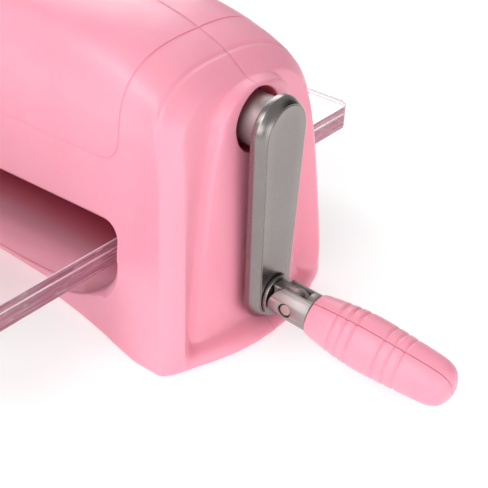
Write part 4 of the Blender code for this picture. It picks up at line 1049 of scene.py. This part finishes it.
def pink_plastic():
    """Moulded plastic with a fine mottle.

    Its colour is deeper inside the mouth and the crank's hole: painted red shade, which stands in for the dim
    red light in there.
    """
    made = Finish("pink_plastic", PINK, 0.34)
    made.set(**{"Specular IOR Level": 0.5})
    flow = made.noise(22, 4, (1, 1, 0.5))
    cloud = made.mix(made.spread(flow, 0, 1), shade(PINK, 0.97), PALE_PINK)
    # Painted red shade: the mouth and the crank's hole are coloured a deeper pink that stands in for the dim
    # red light in there.
    middle_z = (MOUTH_TOP_Z + SILL_Z) / 2
    half = (MOUTH_HALF + MM, MOUTH_SHADE_DEPTH, MOUTH_TOP_Z + MM - middle_z)
    mouth = made.within((0, 0, middle_z), half, MOUTH_SHADE_FADE)
    hole = made.near_crank(HOLE_R, HOLE_SHADE_FADE)
    inside = made.mix(mouth, cloud, PAINTED_SHADE_PINK)
    made.into("Base Color", made.mix(hole, inside, PAINTED_SHADE_PINK))
    made.into("Roughness", made.spread(made.noise(180, 4), 0.30, 0.39))
    made.set(**{"Subsurface Weight": 0.30, "Subsurface Scale": 4.5 * MM})
    made.set(**{"Subsurface Radius": (1.0, 0.16, 0.22)})
    made.bump((made.noise(420, 2), 0.10, 0.10 * MM), (made.noise(2600, 2), 0.08, 0.02 * MM))
    return made.material


def metal(name, colour, roughness, grain, stretch=(1, 1, 1), bump=0.12, dark=0.94, bright=1.15):
    made = Finish(name, colour, sum(roughness) / 2, 1.0)
    stains = made.mix(made.spread(made.noise(60, 5), 0, 1), shade(colour, dark), colour)
    # Lighter sharp edges: partly wear, and partly a painted highlight along the edges, strongest where bright
    # is large.
    wear_and_highlight = made.mix(made.edges(), stains, shade(colour, bright))
    made.into("Base Color", wear_and_highlight)
    fine = made.noise(grain, 3, stretch)
    made.into("Roughness", made.spread(fine, *roughness))
    made.bump((fine, bump, 0.03 * MM), (made.noise(90, 2), 0.05, 0.2 * MM))
    return made.material


def plain(name, colour, roughness, grain, bump):
    made = Finish(name, colour, sum(roughness) / 2)
    cloud = made.spread(made.noise(70, 4), 0, 1)
    made.into("Base Color", made.mix(cloud, shade(colour, 0.8), shade(colour, 1.25)))
    fine = made.noise(grain, 3)
    made.into("Roughness", made.spread(fine, *roughness))
    made.bump((fine, bump, 0.06 * MM))
    return made.material


def acrylic_edge():
    """A sawn and flamed edge. Its pink colour, in dark and light streaks, is a painted reflection of the pink
    machine that it looks into.
    """
    made = Finish("acrylic_edge", (0.72, 0.28, 0.39), 0.12)
    made.set(**{"Transmission Weight": 0.62, "IOR": 1.49})
    lines, flecks = made.noise(420, 4, (0.06, 0.06, 3)), made.noise(260, 5, (0.6, 0.35, 2.2), 0.7)
    # Painted reflection: the pink streaks stand for the pink of the machine seen in the edge.
    pink_reflection_streaks = made.mix(made.spread(lines, 0, 1), (0.50, 0.17, 0.27), (0.93, 0.48, 0.61))
    made.into("Base Color", made.mix(made.spread(flecks, 0, 1, 0.56, 0.66), pink_reflection_streaks, (0.97, 0.80, 0.86)))
    made.into("Roughness", made.spread(lines, 0.05, 0.22))
    made.bump((lines, 0.15, 0.05 * MM))
    return made.material


def frosted_arris():
    made = Finish("frosted_arris", (0.95, 0.86, 0.89), 0.5)
    made.set(**{"Transmission Weight": 0.25, "IOR": 1.49})
    made.into("Roughness", made.spread(made.noise(900, 3), 0.4, 0.6))
    # The pale pink in the frosted arris is a painted reflection of the pink machine.
    cloud = made.spread(made.noise(300, 3, (0.3, 0.3, 1)), 0, 1)
    made.into("Base Color", made.mix(cloud, (0.95, 0.90, 0.92), (0.90, 0.74, 0.79)))
    return made.material


def clear_acrylic():
    made = Finish("clear_acrylic", (0.965, 0.955, 0.95), 0.02)
    made.set(**{"Transmission Weight": 1.0, "IOR": 1.49})
    scratches = made.noise(260, 6, (1, 0.06, 1), 0.7)
    made.into("Roughness", made.spread(scratches, 0.0, 0.06, 0.5, 0.75))
    made.bump((made.noise(35, 2), 0.04, 0.2 * MM), (scratches, 0.03, 0.02 * MM))
    return made.material


def make_finishes():
    return {
        "pink_plastic": pink_plastic(),
        # bright lightens sharp edges: on the satin metal and the fork it is mostly a painted edge highlight.
        "satin_metal": metal("satin_metal", (0.29, 0.264, 0.257), (0.25, 0.33), 3800, bump=0.25, bright=1.9),
        # The dull metal is grey with a pink tint, and the tint is a painted reflection of the pink housing
        # round the hub.
        "dull_metal": metal("dull_metal", (0.41, 0.335, 0.335), (0.50, 0.62), 1800, (0.2, 1, 1), 0.3),
        "fork_metal": metal("fork_metal", (0.37, 0.335, 0.33), (0.40, 0.50), 2400, (0.3, 1, 1), 0.3,
                            bright=1.6),
        "pin_metal": metal("pin_metal", (0.56, 0.44, 0.41), (0.45, 0.60), 1500, bump=0.5),
        "roller_steel": metal("roller_steel", (0.60, 0.60, 0.61), (0.18, 0.30), 900, (0.1, 1, 1)),
        "gear_steel": metal("gear_steel", (0.36, 0.36, 0.37), (0.32, 0.48), 1400, bump=0.3),
        "frame_steel": metal("frame_steel", (0.56, 0.57, 0.60), (0.30, 0.50), 700, (1, 1, 1), 0.2),
        "bronze": metal("bronze", (0.62, 0.40, 0.18), (0.34, 0.50), 2600, bump=0.3),
        "black_plastic": plain("black_plastic", (0.028, 0.028, 0.03), (0.42, 0.62), 1500, 0.5),
        "rubber": plain("rubber", (0.024, 0.024, 0.024), (0.7, 0.9), 2200, 0.6),
        "clear_acrylic": clear_acrylic(),
        "acrylic_edge": acrylic_edge(),
        "frosted_arris": frosted_arris(),
    }


SLOTS = {
    "base_plate": "black_plastic", "foot": "rubber", "side_frame": "frame_steel", "gear_plate": "frame_steel",
    "tie_rod": "frame_steel", "tie_nut": "roller_steel", "housing_screw": "roller_steel",
    "frame_screw": "roller_steel", "lower_roller_gear": "gear_steel", "upper_roller_gear": "gear_steel",
    "drive_gear": "gear_steel", "crank_pinion": "gear_steel", "lower_roller": "roller_steel",
    "upper_roller": "roller_steel", "crank_shaft": "roller_steel", "grip_stop": "roller_steel",
}
REMADE = (
    "front_shell", "rear_shell", "crank_arm", "crank_hub", "handle_knuckle", "hinge_pin", "handle_fork",
    "grip_half_inner", "grip_half_outer", "platform_plate", "cutting_plate",
)


def slot_of(node):
    """The finish of a node that stays as the model has it. Bushes are bronze."""
    if "bush" in node:
        return "bronze"
    best = max((start for start in SLOTS if node.startswith(start)), key=len)
    return SLOTS[best]


def dress(piece, finish, slot, body, *nodes):
    piece.data.materials.clear()
    piece.data.materials.append(finish)
    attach(piece, body)
    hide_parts(*nodes)


# Floor, light and camera

def make_floor():
    bm = bmesh.new()
    bmesh.ops.create_grid(bm, x_segments=2, y_segments=2, size=FLOOR_HALF)
    mesh = bpy.data.meshes.new("floor")
    bm.to_mesh(mesh)
    bm.free()
    floor = bpy.data.objects.new("floor", mesh)
    floor.location.z = cad_box[0].z - FLOOR_DROP
    bpy.context.scene.collection.objects.link(floor)
    made = Finish("pale_floor", FLOOR_COLOUR, 0.8)
    made.into("Roughness", made.spread(made.noise(40, 3), 0.75, 0.85))
    made.set(**{"Specular IOR Level": 0.1, "Emission Color": (1, 1, 1, 1), "Emission Strength": FLOOR_GLOW})
    mesh.materials.append(made.material)


def make_world():
    """A soft grey studio with a dim side behind the crank. To the camera itself it is nearly white."""
    world = bpy.data.worlds.new("studio")
    world.use_nodes = True
    tree = world.node_tree
    nodes, links = tree.nodes, tree.links
    back = nodes["Background"]
    place = nodes.new("ShaderNodeTexCoord")
    facing = nodes.new("ShaderNodeVectorMath")
    facing.operation = "DOT_PRODUCT"
    facing.inputs[1].default_value = Vector(DIM_SIDE).normalized()
    links.new(place.outputs["Generated"], facing.inputs[0])
    dim = nodes.new("ShaderNodeMapRange")
    dim.interpolation_type = "SMOOTHSTEP"
    limits = {"From Min": DIM_START, "From Max": DIM_END, "To Min": STUDIO_LIGHT, "To Max": DIM_LIGHT}
    for name, value in limits.items():
        dim.inputs[name].default_value = value
    links.new(facing.outputs["Value"], dim.inputs["Value"])
    rays = nodes.new("ShaderNodeLightPath")
    seen = nodes.new("ShaderNodeMix")
    links.new(rays.outputs["Is Camera Ray"], seen.inputs["Factor"])
    links.new(dim.outputs["Result"], seen.inputs["A"])
    seen.inputs["B"].default_value = 1.0
    back.inputs["Color"].default_value = (*STUDIO_COLOUR, 1)
    links.new(seen.outputs["Result"], back.inputs["Strength"])
    scene = bpy.context.scene
    scene.world = world
    scene.view_settings.view_transform = "Standard"
    scene.cycles.max_bounces = 28
    scene.cycles.diffuse_bounces = 10
    scene.cycles.glossy_bounces = 24
    scene.cycles.transmission_bounces = 24


def soft_light(name, place, aim, size, power):
    data = bpy.data.lights.new(name, "AREA")
    data.shape = "RECTANGLE"
    data.size, data.size_y = size
    data.energy = power
    light = bpy.data.objects.new(name, data)
    light.location = place
    light.rotation_mode = "QUATERNION"
    light.rotation_quaternion = (Vector(aim) - Vector(place)).to_track_quat("-Z", "Y")
    bpy.context.scene.collection.objects.link(light)


def make_camera():
    """The photograph's view, as a free camera without shift."""
    data = bpy.data.cameras.new("camera")
    data.sensor_width = SENSOR_MM
    data.lens = FOCAL_PIXELS * SENSOR_MM / PHOTO_PIXELS
    data.clip_start = 0.01
    camera = bpy.data.objects.new("camera", data)
    bpy.context.scene.collection.objects.link(camera)
    azimuth, elevation, roll = (math.radians(angle) for angle in CAMERA_DEGREES)
    turn = Matrix.Rotation(azimuth, 4, "Z") @ Matrix.Rotation(math.pi / 2 - elevation, 4, "X")
    camera.matrix_world = Matrix.Translation(CAMERA_PLACE) @ turn @ Matrix.Rotation(roll, 4, "Z")
    bpy.context.scene.camera = camera


def main():
    finishes = make_finishes()
    for name, node in frame["nodes"].items():
        if name in REMADE:
            continue
        for slot in node.material_slots:
            slot.material = finishes[slot_of(name)]
    front, rear = make_shell("front_shell_moulding", -1), make_shell("rear_shell_moulding", 1)
    pink, satin, clear = finishes["pink_plastic"], finishes["satin_metal"], finishes["clear_acrylic"]
    dress(front, pink, "pink_plastic", "chassis", "front_shell")
    dress(rear, pink, "pink_plastic", "chassis", "rear_shell")
    dress(make_arm(), satin, "satin_metal", "crank", "crank_arm")
    dress(make_hub(), finishes["dull_metal"], "satin_metal", "crank", "crank_hub")
    dress(make_knuckle(), satin, "satin_metal", "crank", "handle_knuckle")
    dress(make_pin(), finishes["pin_metal"], "satin_metal", "crank", "hinge_pin")
    dress(make_fork(), finishes["fork_metal"], "satin_metal", "handle", "handle_fork")
    dress(make_grip_half("grip_inner_moulding", 0), pink, "pink_plastic", "grip", "grip_half_inner")
    dress(make_grip_half("grip_outer_moulding", math.pi), pink, "pink_plastic", "grip", "grip_half_outer")
    for name, box, node in (("platform_sheet", PLATFORM_BOX, "platform_plate"),
                            ("cutting_sheet", CUTTING_BOX, "cutting_plate")):
        plate = make_plate(name, box)
        dress(plate, clear, "clear_acrylic", "plates", node)
        with_sawn_edge(plate, finishes["acrylic_edge"], finishes["frosted_arris"])
    make_floor()
    make_world()
    for name, values in LIGHTS.items():
        soft_light(name, *values)
    make_camera()


main()
